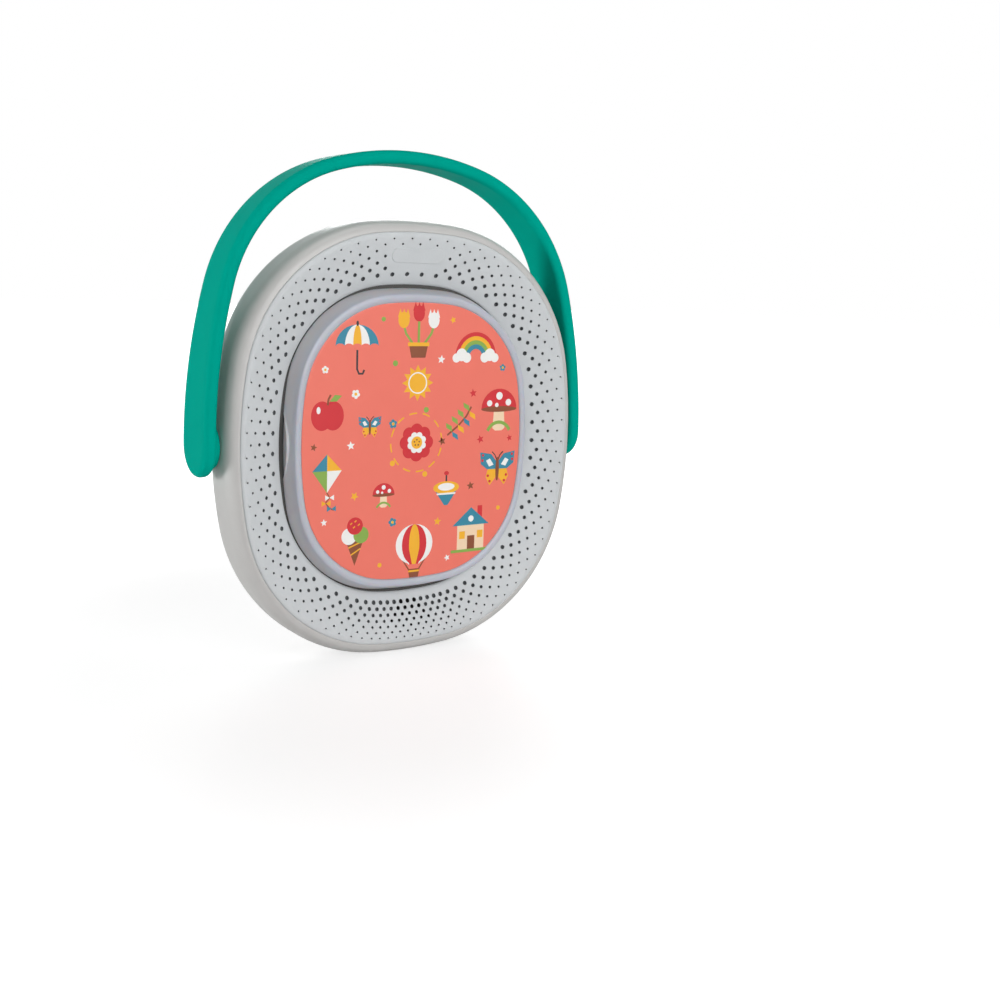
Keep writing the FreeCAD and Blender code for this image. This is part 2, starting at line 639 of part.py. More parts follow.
def pivots():
    """Friction bushes in the housing, and the washers and screws that hold the handle's journals."""
    radius, thick = washer
    screws = []
    for side, name in ((-1, "left"), (1, "right")):
        bush = pivot_rod(bush_radius - running, side, collar_end + play, half_width - seat)
        bore = pivot_rod(journal_radius + running, side, collar_end - 1, half_width)
        nodes["hub_bush_" + name] = bush.cut(bore)
        ring = pivot_rod(radius, side, collar_end - thick, collar_end)
        hole = pivot_rod(screw_radius + running, side, collar_end - 3, collar_end + 1)
        nodes["hub_washer_" + name] = ring.cut(hole)
        under = collar_end - thick
        screws.append(joined([pivot_rod(screw_radius, side, under, collar_end + 9),
                              pivot_rod(head_radius, side, under - head_height, under)]))
    nodes["hub_screws"] = group(screws)


# ---------------------------------------------------------------- everything
def build():
    nodes["front_cover"] = front_cover()
    nodes["rear_housing"] = rear_housing()
    nodes["story_disc"] = story_disc()
    nodes["disc_label"] = disc_label()
    low = disc_base - seat - magnet_height
    nodes["disc_magnets"] = group(rod(magnet_radius, low, low + magnet_height, x, z)
                                  for x, z in corners(magnet_place))
    low = well_depth + 0.8
    nodes["seat_magnets"] = group(rod(magnet_radius, low, low + magnet_height, x, z)
                                  for x, z in corners(magnet_place))
    nodes["key_deck"] = key_deck()
    for i, (x, z) in enumerate(key_places()):
        nodes["key_%02d" % i] = key(x, z)
    nodes["main_board"] = main_board()
    nodes["key_switches"] = group(block(switch_size, switch_size, switch_top, board_front, x, z)
                                  for x, z in key_places())
    nodes["board_chips"] = board_chips()
    nodes["disc_sensor"] = block(8, 4, deck_under, deck_under + 1.6, 0, 16)
    nodes["board_screws"] = group(screw(x, z, board_front, board_back + 8.0) for x, z in corners(board_post))
    nodes["case_screws"] = group(screw(x, z, case_screw_head, 12.0) for x, z in case_screw_places())
    speaker()
    battery_bay()
    battery_door()
    power_slider()
    nodes["handle"] = handle()
    pivots()


build()
os.makedirs("parts", exist_ok=True)
for name, shape in nodes.items():
    shape.exportStep("parts/%s.step" % name)
    state = "valid" if shape.isValid() else "NOT VALID"
    print(name, len(shape.Solids), "solids", round(shape.Volume), "mm3", state)
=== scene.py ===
# %% [markdown]
# # Audio story player: the looks around a fixed frame
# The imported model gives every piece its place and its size. This lesson finishes what shows:
# the textured cover with its dimpled grille, the satin housing, the frosted story disc with its
# printed label, and the carrying handle.

# %% Load the frame
import json
from math import atan2, copysign, cos, degrees, hypot, pi, radians, sin, sqrt

import bmesh
import bpy
import numpy as np
from mathutils import Matrix, Vector


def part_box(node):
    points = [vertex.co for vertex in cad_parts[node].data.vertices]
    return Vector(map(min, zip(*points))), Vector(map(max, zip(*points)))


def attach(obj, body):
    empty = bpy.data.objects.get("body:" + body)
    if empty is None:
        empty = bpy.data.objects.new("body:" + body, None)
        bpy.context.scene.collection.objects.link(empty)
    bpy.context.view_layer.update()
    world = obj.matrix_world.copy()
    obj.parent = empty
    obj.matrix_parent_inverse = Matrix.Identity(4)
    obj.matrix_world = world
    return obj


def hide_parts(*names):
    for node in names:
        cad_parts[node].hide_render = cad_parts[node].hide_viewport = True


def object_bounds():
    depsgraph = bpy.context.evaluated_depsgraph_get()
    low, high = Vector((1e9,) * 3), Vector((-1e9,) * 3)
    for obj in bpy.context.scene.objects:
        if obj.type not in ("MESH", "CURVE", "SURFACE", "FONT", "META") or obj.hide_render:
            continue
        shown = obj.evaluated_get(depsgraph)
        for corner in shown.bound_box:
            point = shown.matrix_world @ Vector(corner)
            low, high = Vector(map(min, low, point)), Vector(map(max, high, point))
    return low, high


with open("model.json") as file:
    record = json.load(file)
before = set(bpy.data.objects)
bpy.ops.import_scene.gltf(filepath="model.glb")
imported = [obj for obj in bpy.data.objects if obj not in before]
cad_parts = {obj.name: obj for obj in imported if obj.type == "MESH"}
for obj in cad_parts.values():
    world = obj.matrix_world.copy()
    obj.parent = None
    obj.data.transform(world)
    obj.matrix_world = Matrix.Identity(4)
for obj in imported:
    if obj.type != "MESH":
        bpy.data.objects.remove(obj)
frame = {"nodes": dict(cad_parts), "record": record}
cad_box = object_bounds()
MM = 0.001
print("pieces in the frame:", len(frame["nodes"]))

# %% [markdown]
# ## Measures
# The housing stands on its edge, so its middle lies half its height above the ground. A depth is
# counted in millimetres from the front plane towards the back, so that profiles are easy to read.

# %% Read the driving measures from the frame
shell_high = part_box("rear_housing")[1]
label_low, label_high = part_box("disc_label")
FRONT = cad_box[0][1] / MM
DEPTH = cad_box[1][1] / MM - FRONT
HALF_WIDTH = shell_high.x / MM
MIDDLE = (label_low.z + label_high.z) / 2 / MM
TALL = (shell_high.z / MM - MIDDLE) / HALF_WIDTH    # half height over half width
WALL = 2.4
print(f"front plane {FRONT:.2f}, half width {HALF_WIDTH:.2f}, middle {MIDDLE:.2f}, tall {TALL:.4f}")

# %% [markdown]
# ## Outlines
# Every outline is one pebble shape at another size: eight arcs that meet without a kink. A circle
# or a superellipse would be shorter to write, but neither has these soft corners. A point is the
# half width times a point of the unit outline, which keeps meshes regular.

# %% The unit outline, seen from the middle
# a corner arc's radius over the half width, and the normals where it begins and ends, in degrees
BODY_SHAPE = (0.838, 9.9, 84.7)
DISC_SHAPE = (0.785, 8.4, 84.9)


def unit_by_normal(angle, shape, tall=TALL):
    """Point of the unit outline whose normal points at angle, in degrees from the right."""
    share, low, high = shape
    c1, s1 = cos(radians(high)), sin(radians(high))
    c2, s2 = cos(radians(low)), sin(radians(low))
    det = c1 * s2 - (1 - c2) * (1 - s1)
    u = ((1 - share) * s2 - (tall - share) * (1 - c2)) / det
    v = ((tall - share) * c1 - (1 - share) * (1 - s1)) / det
    c, s = cos(radians(angle)), sin(radians(angle))
    turn = degrees(atan2(abs(s), abs(c)))
    if turn < low:
        x, z = 1 - v - share + (v + share) * abs(c), (v + share) * abs(s)
    elif turn > high:
        x, z = (u + share) * abs(c), tall - u - share + (u + share) * abs(s)
    else:
        x, z = u * c1 + share * abs(c), v * s2 + share * abs(s)
    return copysign(x, c), copysign(z, s)


def seen_table(shape):
    """Angles from straight down, a twelfth of a degree apart, and the outline's reach at each."""
    points = np.array([unit_by_normal(g, shape) for g in np.linspace(-90, 270, 4321)])
    seen = np.degrees(np.unwrap(np.arctan2(points[:, 0], -points[:, 1])))
    return seen, np.hypot(points[:, 0], points[:, 1])


TABLES = {shape: seen_table(shape) for shape in (BODY_SHAPE, DISC_SHAPE)}


def reach(angles, shape=BODY_SHAPE):
    """How far the unit outline lies from the middle, at angles from straight down."""
    seen, far = TABLES[shape]
    return np.interp(np.mod(np.asarray(angles, float) - seen[0], 360.0) + seen[0], seen, far)


def unit_points(angles, shape=BODY_SHAPE):
    """x and z of the unit outline, at angles from straight down."""
    far, turn = reach(angles, shape), np.radians(angles)
    return far * np.sin(turn), -far * np.cos(turn)


def spot(angle, a, shape=BODY_SHAPE):
    """x and z of one point of an outline of half width a."""
    x, z = unit_points([angle], shape)
    return float(a * x[0]), float(a * z[0])


print("reach at the side and at the bottom:", reach([90.0, 0.0]))

# %% [markdown]
# ## Making meshes
# All big pieces are grids: columns go round the outline and rows follow a profile. A small class
# collects points and faces and makes the object. Points are given in millimetres as x, depth and
# height over the middle.


# %% A collector for points and faces
def new_object(name, data):
    thing = bpy.data.objects.new(name, data)
    bpy.context.scene.collection.objects.link(thing)
    return thing


class Shape:
    """Points and faces of one piece."""

    def __init__(self):
        self.points = []
        self.faces = []
        self.tints = []
        self.tint = 0

    def add(self, points):
        """Adds points and returns their numbers."""
        start = len(self.points)
        self.points.extend(tuple(p) for p in points)
        return list(range(start, len(self.points)))

    def row(self, unit, a, depth):
        """Adds an outline of half width a, at one depth or at one for each point."""
        x, z = unit
        return self.add(zip(a * x, np.broadcast_to(depth, len(x)), a * z))

    def face(self, corners):
        """One face in the current tint, which is the number of a material."""
        self.faces.append(tuple(corners))
        self.tints.append(self.tint)

    def strip(self, first, second):
        """Quads between two closed rows of as many points."""
        for i in range(len(first)):
            j = (i + 1) % len(first)
            self.face((first[i], first[j], second[j], second[i]))

    def skin(self, rows):
        """Strips from each row to the next."""
        for first, second in zip(rows, rows[1:]):
            self.strip(first, second)

    def block(self, rows):
        """A skin whose ends are closed."""
        self.skin(rows)
        self.face(rows[0])
        self.face(rows[-1][::-1])

    def fan(self, row, tip):
        """Triangles from a closed row to a new point."""
        end = self.add([tip])[0]
        for i in range(len(row)):
            self.face((row[i], row[(i + 1) % len(row)], end))

    def mesh(self, name, materials):
        """The mesh in metres, its normals turned outwards."""
        mesh = bpy.data.meshes.new(name)
        where = [(x * MM, (FRONT + t) * MM, (MIDDLE + z) * MM) for x, t, z in self.points]
        mesh.from_pydata(where, [], self.faces)
        for material in materials:
            mesh.materials.append(material)
        mesh.polygons.foreach_set("material_index", self.tints)
        tidy = bmesh.new()
        tidy.from_mesh(mesh)
        bmesh.ops.recalc_face_normals(tidy, faces=tidy.faces)
        tidy.to_mesh(mesh)
        tidy.free()
        return mesh

    def piece(self, name, materials, body, replaces=(), sharp=30.0, cutters=()):
        """The object, riding on its body, with any cutters taken out of it."""
        thing = new_object(name, self.mesh(name, materials))
        if cutters:
            carve(thing, cutters)
        mesh = thing.data
        mesh.polygons.foreach_set("use_smooth", [True] * len(mesh.polygons))
        mesh.set_sharp_from_angle(angle=radians(sharp))
        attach(thing, body)
        if replaces:
            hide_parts(*replaces)
        print(f"{name}: {len(mesh.vertices)} points, {len(mesh.polygons)} faces")
        return thing


def carve(thing, cutters):
    """Cuts closed shapes out of a piece."""
    tools = []
    for i, cutter in enumerate(cutters):
        tool = new_object(f"cutter_{i}", cutter.mesh(f"cutter_{i}", ()))
        modifier = thing.modifiers.new(tool.name, "BOOLEAN")
        modifier.object = tool
        modifier.solver = "EXACT"
        tools.append(tool)
    bpy.context.view_layer.update()
    whole = thing.data
    cut = thing.evaluated_get(bpy.context.evaluated_depsgraph_get())
    thing.data = bpy.data.meshes.new_from_object(cut)
    thing.modifiers.clear()
    bpy.data.meshes.remove(whole)
    for tool in tools:
        bpy.data.meshes.remove(tool.data)


def around(place, radius, turns):
    """The two coordinates of points round a place, at turns in radians."""
    return place[0] + radius * np.cos(turns), place[1] + radius * np.sin(turns)


def arc(centre, size, start, end, steps):
    """Points of an elliptic arc as half width and depth. Zero degrees points back, 90 outwards."""
    for turn in np.radians(np.linspace(start, end, steps + 1)):
        yield centre[0] + size[0] * sin(turn), centre[1] + size[1] * cos(turn)


def smooth(points, steps):
    """A Catmull-Rom curve through the points of a profile."""
    p = np.array([points[0]] + list(points) + [points[-1]], float)
    out = []
    for before, here, after, beyond in zip(p, p[1:], p[2:], p[3:]):
        for s in np.arange(steps) / steps:
            out.append(0.5 * (2 * here + (after - before) * s
                              + (2 * before - 5 * here + 4 * after - beyond) * s ** 2
                              + (3 * here - before - 3 * after + beyond) * s ** 3))
    return out + [p[-2]]


# %% [markdown]
# ## Shader maths
# A finish is a small sum: grain times a strength, plus an offset. Written as a chain of Math nodes
# it can't be read, so a Link wraps a socket and its operators add the nodes. Every other node comes
# from one method of Nodes, which takes the node's type, its settings and its inputs.


# %% Links, node trees and finishes
class Link:
    """A socket whose operators add Math nodes."""

    def __init__(self, nodes, socket):
        self.nodes = nodes
        self.socket = socket

    def maths(self, operation, first, second):
        return self.nodes.node("Math", {"operation": operation}, {0: first, 1: second})

    def __add__(self, other):
        return self.maths("ADD", self, other)

    def __radd__(self, other):
        return self.maths("ADD", other, self)

    def __sub__(self, other):
        return self.maths("SUBTRACT", self, other)

    def __rsub__(self, other):
        return self.maths("SUBTRACT", other, self)

    def __mul__(self, other):
        return self.maths("MULTIPLY", self, other)

    def __rmul__(self, other):
        return self.maths("MULTIPLY", other, self)


class Nodes:
    """The node tree of a material or of the world."""

    def __init__(self, tree):
        self.tree = tree

    def node(self, kind, settings=None, inputs=None, output=0):
        """Adds a node and gives one of its outputs."""
        node = self.tree.nodes.new("ShaderNode" + kind)
        for name, value in (settings or {}).items():
            setattr(node, name, value)
        for name, value in (inputs or {}).items():
            self.join(value, node.inputs[name])
        return Link(self, node.outputs[output])

    def join(self, value, socket):
        """Feeds a socket from a Link, or sets it to a constant."""
        if isinstance(value, Link):
            self.tree.links.new(value.socket, socket)
        else:
            socket.default_value = value


class Finish(Nodes):
    """One material. Constants go straight on the shader's own sockets."""

    def __init__(self, name, constants):
        self.material = bpy.data.materials.new(name)
        self.material.use_nodes = True
        super().__init__(self.material.node_tree)
        self.shader = self.tree.nodes["Principled BSDF"]
        for socket, value in constants.items():
            self.feed(socket, value)

    def feed(self, socket, value):
        self.join(value, self.shader.inputs[socket])

    def grain(self, size_mm, detail=2.0):
        """Noise whose blobs are about size_mm across."""
        place = self.node("TexCoord", output="Object")
        return self.node("TexNoise", {}, {"Vector": place, "Scale": 1 / (size_mm * MM), "Detail": detail})

    def blend(self, share, first, second):
        """Mixes two colours: inputs 6 and 7 of a Mix node, and its output 2."""
        return self.node("Mix", {"data_type": "RGBA"}, {0: share, 6: first, 7: second}, output=2)

    def bump(self, height, depth_mm):
        inputs = {"Height": height, "Distance": depth_mm * MM, "Strength": 1.0}
        self.feed("Normal", self.node("Bump", {}, inputs))


def srgb(*screen):
    """Colour written as on a screen, 0 to 255, turned into the renderer's linear values."""
    c = np.array(screen) / 255
    return *np.where(c <= 0.04045, c / 12.92, ((c + 0.055) / 1.055) ** 2.4), 1.0


def plastic(name, tint, lighter, rough, spread, grain_mm, bump_mm=0.0, constants={}):
    """Moulded plastic: clouds of a tint and a lighter one, and a fine grain."""
    finish = Finish(name, constants)
    clouds = finish.grain(size_mm=9.0, detail=3.0)
    finish.feed("Base Color", finish.blend(clouds, srgb(*tint), srgb(*np.add(tint, lighter))))
    fine = finish.grain(grain_mm)
    finish.feed("Roughness", (fine - 0.5) * spread + rough)
    if bump_mm:
        finish.bump(fine, bump_mm)
    return finish.material


# %% [markdown]
# ## Finishes
# The front cover comes from a spark-eroded mould, so it is matt with a fine, even grain. The
# housing behind it is polished less finely than gloss: a satin that still mirrors the handle as a
# soft dark band. The disc is frosted, so light sinks in a little. Small differences of tint and
# roughness keep each of them from looking like flat paint.

# %% Make the finishes
# for each slot: name, tint and its spread, roughness and its spread, grain's size and bump in mm
LOOKS = (
    ("cover", "cover_textured", (201, 205, 207), 10, 0.62, 0.2, 0.8, 0.07),
    # dimple and through are painted shade: a dark grey inside the dimples and a near black in the bores
    ("dimple", "cover_dimple_shade", (80, 83, 85), 12, 0.8, 0.1, 0.5),
    ("through", "cover_hole_black", (12, 12, 13), 6, 0.8, 0.1, 0.5),
    ("shell", "shell_satin", (194, 193, 191), 6, 0.36, 0.1, 0.9),
    ("handle", "handle_teal", (0, 163, 144), (0, 5, 5), 0.4, 0.08, 0.7, 0.004, {"Specular IOR Level": 0.003}),
    # painted shade: the deck is darker than its moulded mid grey, so the gap round the disc reads dark
    ("deck", "deck_grey", (60, 59, 57), 8, 0.6, 0.1, 0.6, 0.01),
    ("key", "key_pale", (214, 214, 212), 8, 0.45, 0.1, 0.6, 0.006),
    ("slider", "slider_dark", (60, 61, 63), 8, 0.45, 0.1, 0.4, 0.01),
    ("board", "board_green", (20, 92, 52), (6, 12, 8), 0.35, 0.1, 1.2),
    ("chip", "chip_black", (32, 32, 34), 10, 0.5, 0.1, 0.3),
    ("foam", "foam_black", (30, 30, 31), (8, 8, 9), 0.9, 0.1, 0.3, 0.05),
    ("bush", "bush_acetal", (222, 220, 212), 8, 0.4, 0.1, 0.5),
    ("cell", "cell_sleeve", (52, 56, 70), 8, 0.3, 0.1, 0.6),
    ("steel", "screw_steel", (170, 170, 168), 18, 0.32, 0.16, 0.25, 0.004, {"Metallic": 1.0}),
    ("magnet", "magnet_nickel", (180, 178, 172), 10, 0.25, 0.1, 0.4, 0.0, {"Metallic": 1.0}))
# painted light: the tray's colour runs from neutral at the base to cooler at the rim
PAINTED_LIGHT_FADE = (-220.0, -3.0)            # from the place in depth, in metres, to the rim's share


def frosted():
    """Frosted tray. Its colour is painted light: neutral at its base, and cooler towards the rim, where more
    light passes.
    """
    finish = Finish("disc_frosted", {"Subsurface Weight": 0.3, "Subsurface Scale": 0.003})
    depth = finish.node("SeparateXYZ", {}, {0: finish.node("TexCoord", output="Object")}, output="Y")
    painted_light_tint = finish.blend(depth * PAINTED_LIGHT_FADE[0] + PAINTED_LIGHT_FADE[1], srgb(190, 188, 191), srgb(187, 192, 203))
    clouds = finish.grain(size_mm=6.0, detail=3.0)
    finish.feed("Base Color", finish.blend(clouds * 0.12, painted_light_tint, srgb(205, 208, 216)))
    fine = finish.grain(0.6)
    finish.feed("Roughness", (fine - 0.5) * 0.12 + 0.34)
    finish.bump(fine, 0.006)
    return finish.material


INKS = {name: plastic("ink_" + name, tint, lighter, 0.42, 0.06, 0.5) for name, tint, lighter in (
    ("coral", (241, 118, 100), 4), ("white", (244, 243, 240), 6), ("teal", (44, 132, 158), 8),
    ("yellow", (246, 178, 32), (4, 8, 10)), ("red", (208, 34, 44), (8, 8, 6)), ("brown", (132, 68, 34), 8),
    ("green", (132, 170, 70), 10), ("black", (38, 34, 38), 8), ("cream", (246, 214, 178), (4, 8, 10)))}
FINISHES = {slot: plastic(*look) for slot, *look in LOOKS}
FINISHES.update(disc=frosted(), label=INKS["coral"], paper=FINISHES["foam"])
print("finishes:", len(bpy.data.materials))

# %% [markdown]
# ## Stations and rows of the grille
# Seven rows of dimples run round the cover. Odd rows have a hole at each whole station, even rows
# at each half one, so the field looks woven. The stations crowd in front of the speaker at the
# bottom and spread elsewhere. The holes shrink outwards, from 2.2 mm across to 1 mm.

# %% Stations, rows and the cover's surface
GRILLE_INNER, GRILLE_OUTER = (68.6, 5.74), (82.7, 0.35)    # half width and depth of the end rows
ROWS = 7
ROW_BEND = (0.1, 0.28)           # how much the outer rows close up, in half width and in depth
HOLE_RADIUS = (1.1, 0.5)         # in the first and the last row
SPEAKER_ROWS = (3, 4, 5, 6, 5, 4, 3)    # how many holes of each row go through
SPEAKER_STEP = 2.75              # degrees between stations in front of the speaker
SPEAKER_EDGE = (11.0, 20.0)      # where they begin to spread, and over how many degrees
STEP_WAVES = (6.03, -0.85, 0.62)    # degrees elsewhere: the mean, and waves of two and four a turn
BADGE = {"rows": range(2, 6), "half_width": 15.0}
PARTS = 4                        # lines of the lattice to a station, and to a row
CREST = (83.5, 0.2)
WELL_MOUTH = 64.4
WELL_LIP = ((0.0, 9.0), (0.15, 8.5), (0.7, 7.9), (1.9, 7.05))    # outside the mouth, and depth


def station_step(angle):
    """Degrees from one station to the next, at an angle from straight down."""
    mean, twice, fourfold = STEP_WAVES
    coarse = mean + twice * cos(radians(2 * angle)) + fourfold * cos(radians(4 * angle))
    blend = min(1.0, max(0.0, (angle - SPEAKER_EDGE[0]) / SPEAKER_EDGE[1]))
    return SPEAKER_STEP + (coarse - SPEAKER_STEP) * blend


def station_angles():
    """Angle from straight down of each column line, with PARTS columns to a station."""
    whole = [0.0]
    while whole[-1] < 180:
        whole.append(whole[-1] + station_step(whole[-1]))
    whole.pop()
    end = whole[-1] + station_step(whole[-1]) / 2    # half a station past the last one is straight up
    side = np.append(np.array(whole) * 180.0 / end, 180.0)
    last = len(whole) - 0.5
    count = np.append(np.arange(len(whole)), last)
    stations = np.arange((2 * len(whole) - 1) * PARTS) / PARTS - last
    return np.sign(stations) * np.interp(np.abs(stations), count, side), len(whole)


def row_place(row):
    """Half width and depth of a row of holes. The first row is 1."""
    share = (row - 1) / (ROWS - 1)
    return tuple(inner + (outer - inner) * share * (1 + bend - bend * share)
                 for inner, outer, bend in zip(GRILLE_INNER, GRILLE_OUTER, ROW_BEND))


COLUMNS, WHOLE = station_angles()
UNIT = unit_points(COLUMNS)
row_places = [row_place(r) for r in range(1, ROWS + 1)]
LIP = np.array(smooth([(WELL_MOUTH + out, t) for out, t in WELL_LIP] + row_places + [CREST], 6))


def dish(a):
    """Depth of the cover's front at half width a."""
    return np.maximum(np.interp(a, LIP[:, 0], LIP[:, 1]), 0.0)


def surface(x, z, extra=0.0):
    """Depth of the dish under points x and z, plus extra."""
    seen = np.degrees(np.arctan2(x, -np.asarray(z)))
    return dish(np.hypot(x, z) / reach(seen)) + extra


print("stations a side:", WHOLE, "columns:", len(COLUMNS))

# %% [markdown]
# ## The front cover
# A boolean with hundreds of cutters would leave long thin faces that shade badly on a curved
# surface. Instead the field is made of cells, like bricks: sixteen points frame each hole, and
# rings of points lead from them over the hole's rounded edge down to its floor. Thirty holes in
# front of the speaker have no floor and go through.

# %% The lattice that the cells lie in
GRILLE_MARGIN = (1.45, 0.66)     # from the first row inwards and from the last row outwards
row_widths = [a for a, t in row_places]
borders = [row_widths[0] - GRILLE_MARGIN[0]] + [(p + q) / 2 for p, q in zip(row_widths, row_widths[1:])]
borders.append(row_widths[-1] + GRILLE_MARGIN[1])
LATTICE = [p + (q - p) * j / PARTS for p, q in zip(borders, borders[1:]) for j in range(PARTS)]
LATTICE.append(borders[-1])
print(f"lattice: {len(LATTICE)} rows of {len(COLUMNS)} points")


# %% Cells with and without holes
HOLE_EDGE = ((0.30, 0.0), (0.04, 0.0), (-0.10, 0.16))    # past the hole's radius, and depth
BORE = ((-0.14, WALL / 2), (-0.10, WALL))
DIMPLE = {"share": 0.82, "side": 1.35, "tip": 1.6}    # its floor's share of the radius, its depths


def frame_of(rows, row, column):
    """The sixteen points round a cell."""
    low, far, steps = PARTS * (row - 1), column + PARTS, range(PARTS)
    ring = [(low, column + i) for i in steps] + [(low + i, far) for i in steps]
    ring += [(low + PARTS, far - i) for i in steps] + [(low + PARTS - i, column) for i in steps]
    return [rows[j][i % len(COLUMNS)] for j, i in ring]


def plain(shape, rows, row, column):
    """A cell without a hole."""
    for j in range(PARTS * (row - 1), PARTS * row):
        for i in range(column, column + PARTS):
            c, d = i % len(COLUMNS), (i + 1) % len(COLUMNS)
            shape.face((rows[j][c], rows[j][d], rows[j + 1][d], rows[j + 1][c]))


def rings_down(shape, ring, place, turns, steps):
    """Rings from a frame inwards, each with a radius and a depth under the dish."""
    for radius, extra in steps:
        x, z = around(place, radius, turns)
        inner = shape.add(zip(x, surface(x, z, extra), z))
        shape.strip(ring, inner)
        ring = inner
    return ring


def hole(shape, sheets, row, column, place, radius, through):
    """A cell whose hole goes through both sheets or ends in a dimple."""
    ring = frame_of(sheets[0], row, column)
    spots = np.array([shape.points[i] for i in ring])
    turns = np.arctan2(spots[:, 2] - place[1], spots[:, 0] - place[0])
    ring = rings_down(shape, ring, place, turns, [(radius + past, t) for past, t in HOLE_EDGE])
    # Painted shade: a dimple's walls and floor take the dark grey finish, and a through hole's bore the
    # near-black one.
    shape.tint = 2 if through else 1
    if through:
        ring = rings_down(shape, ring, place, turns, [(radius + past, t) for past, t in BORE])
        shape.tint = 0
        shape.strip(ring, frame_of(sheets[1], row, column))
    else:
        top = float(surface(*place))
        x, z = around(place, radius * DIMPLE["share"], turns)
        floor = shape.add(zip(x, [top + DIMPLE["side"]] * len(turns), z))
        shape.strip(ring, floor)
        shape.fan(floor, (place[0], top + DIMPLE["tip"], place[1]))
        shape.tint = 0
        plain(shape, sheets[1], row, column)


# %% The cover
FLANGE = (1.8, 8.98)             # behind the well's mouth: its width and its depth
SLIVER = 0.05                    # points closer than this to the lattice are left out
# half width and depth, from the crest over the edge, down the skirt and up its inside
COVER_EDGE = ((83.8, 0.22), (84.3, 0.31), (84.75, 0.48), (85.08, 0.74), (85.26, 1.05),
              (85.3, 1.35), (85.3, 7.0), (82.9, 7.0), (82.9, 3.4))


def front_cover():
    shape = Shape()
    front, back = ([shape.row(UNIT, a, dish(a) + extra) for a in LATTICE] for extra in (0.0, WALL))
    counts = [0, 0]
    for row in range(1, ROWS + 1):
        radius = np.interp(row, (1, ROWS), HOLE_RADIUS)
        start = 0 if row % 2 else PARTS // 2
        for column in range(start, start + len(COLUMNS), PARTS):
            middle = (column + PARTS // 2) % len(COLUMNS)
            x, z = (row_widths[row - 1] * v[middle] for v in UNIT)
            if row in BADGE["rows"] and z > 0 and abs(x) < BADGE["half_width"]:
                for sheet in (front, back):
                    plain(shape, sheet, row, column)
            else:
                through = abs(middle / PARTS - (WHOLE - 0.5)) < SPEAKER_ROWS[row - 1] / 2
                hole(shape, (front, back), row, column, (x, z), radius, through)
                counts[through] += 1
    lip = [p for p in LIP if p[0] < LATTICE[0] - SLIVER]
    flange = [(WELL_MOUTH + FLANGE[0], FLANGE[1]), (WELL_MOUTH, FLANGE[1])] + lip[1:]
    shape.skin([back[0]] + [shape.row(UNIT, a, t) for a, t in flange] + [front[0]])
    shape.skin([front[-1]] + [shape.row(UNIT, a, t) for a, t in COVER_EDGE] + [back[-1]])
    print("holes:", sum(counts), "through:", counts[1])
    finishes = [FINISHES[name] for name in ("cover", "dimple", "through")]
    return shape.piece("cover_grille", finishes, "housing", ["front_cover"], sharp=50.0)


front_cover()

# %% [markdown]
# ## The badge
# A plain raised pill fills the smooth patch over the disc. Its points take their depth from the
# cover's surface, a third of a millimetre in front of it.


# %% A plain pill on the smooth patch
PILL = {"width": 27.0, "height": 6.4, "rise": 83.8}
# share of the pill's size, and how far proud of the dish, from its foot to its middle
PILL_ROWS = ((1.0, -0.2), (1.0, 0.2), (0.985, 0.29), (0.95, 0.34), (0.88, 0.35), (0.6, 0.35), (0.3, 0.35))


def rounded(width, height, corner, x=0.0, z=0.0, count=48):
    """Outline of a rectangle with round corners."""
    turns = np.radians((np.arange(count) + 0.5) * 360.0 / count)
    return list(zip(x + np.sign(np.cos(turns)) * (width / 2 - corner) + corner * np.cos(turns),
                    z + np.sign(np.sin(turns)) * (height / 2 - corner) + corner * np.sin(turns)))


def badge():
    shape = Shape()
    rows = []
    for share, proud in PILL_ROWS:
        width, height = PILL["width"] * share, PILL["height"] * share
        x, z = np.array(rounded(width, height, height / 2, 0.0, PILL["rise"], 60)).T
        rows.append(shape.add(zip(x, surface(x, z, -proud), z)))
    shape.skin(rows)
    tip = surface(0.0, PILL["rise"], -PILL_ROWS[-1][1])
    shape.fan(rows[-1], (0.0, float(tip), PILL["rise"]))
    shape.face(rows[0])
    return shape.piece("badge_pill", [FINISHES["cover"]], "housing", sharp=50.0)


badge()

# %% [markdown]
# ## The rear housing
# The housing is a bowl: a small round at the front edge, an almost straight flank, and a big round
# into the flat back. It is a grid like the cover, closed by an inside. Its openings lie in flat or
# hidden places, where a boolean is clean and short to write.


# %% Cutters and rings
def circle(x, z, radius, count=48):
    return list(zip(*around((x, z), radius, np.radians(np.arange(count) * 360.0 / count))))


def prism(outline, start, end, across=False):
    """Closed prism to cut with, along the depth or across the housing."""
    shape = Shape()
    shape.block([shape.add((place, p, q) if across else (p, place, q) for p, q in outline)
                 for place in (start, end)])
    return shape


PIVOT_DEPTH, PIVOT_RISE = 19.5, 0.4


def pivot_ring(shape, x, radius, count=48):
    """A circle round the axis of the handle's pivots."""
    return shape.add((x, t, z) for t, z in circle(PIVOT_DEPTH, PIVOT_RISE, radius, count))


# %% The bowl, its land and its openings
BACK_WALL = 3.0
FRONT_ROUND, FRONT_ROUND_END = (4.6, 8.2), 9.3    # how far in and how deep, and where it ends
BACK_ROUND = (16.0, 21.0)
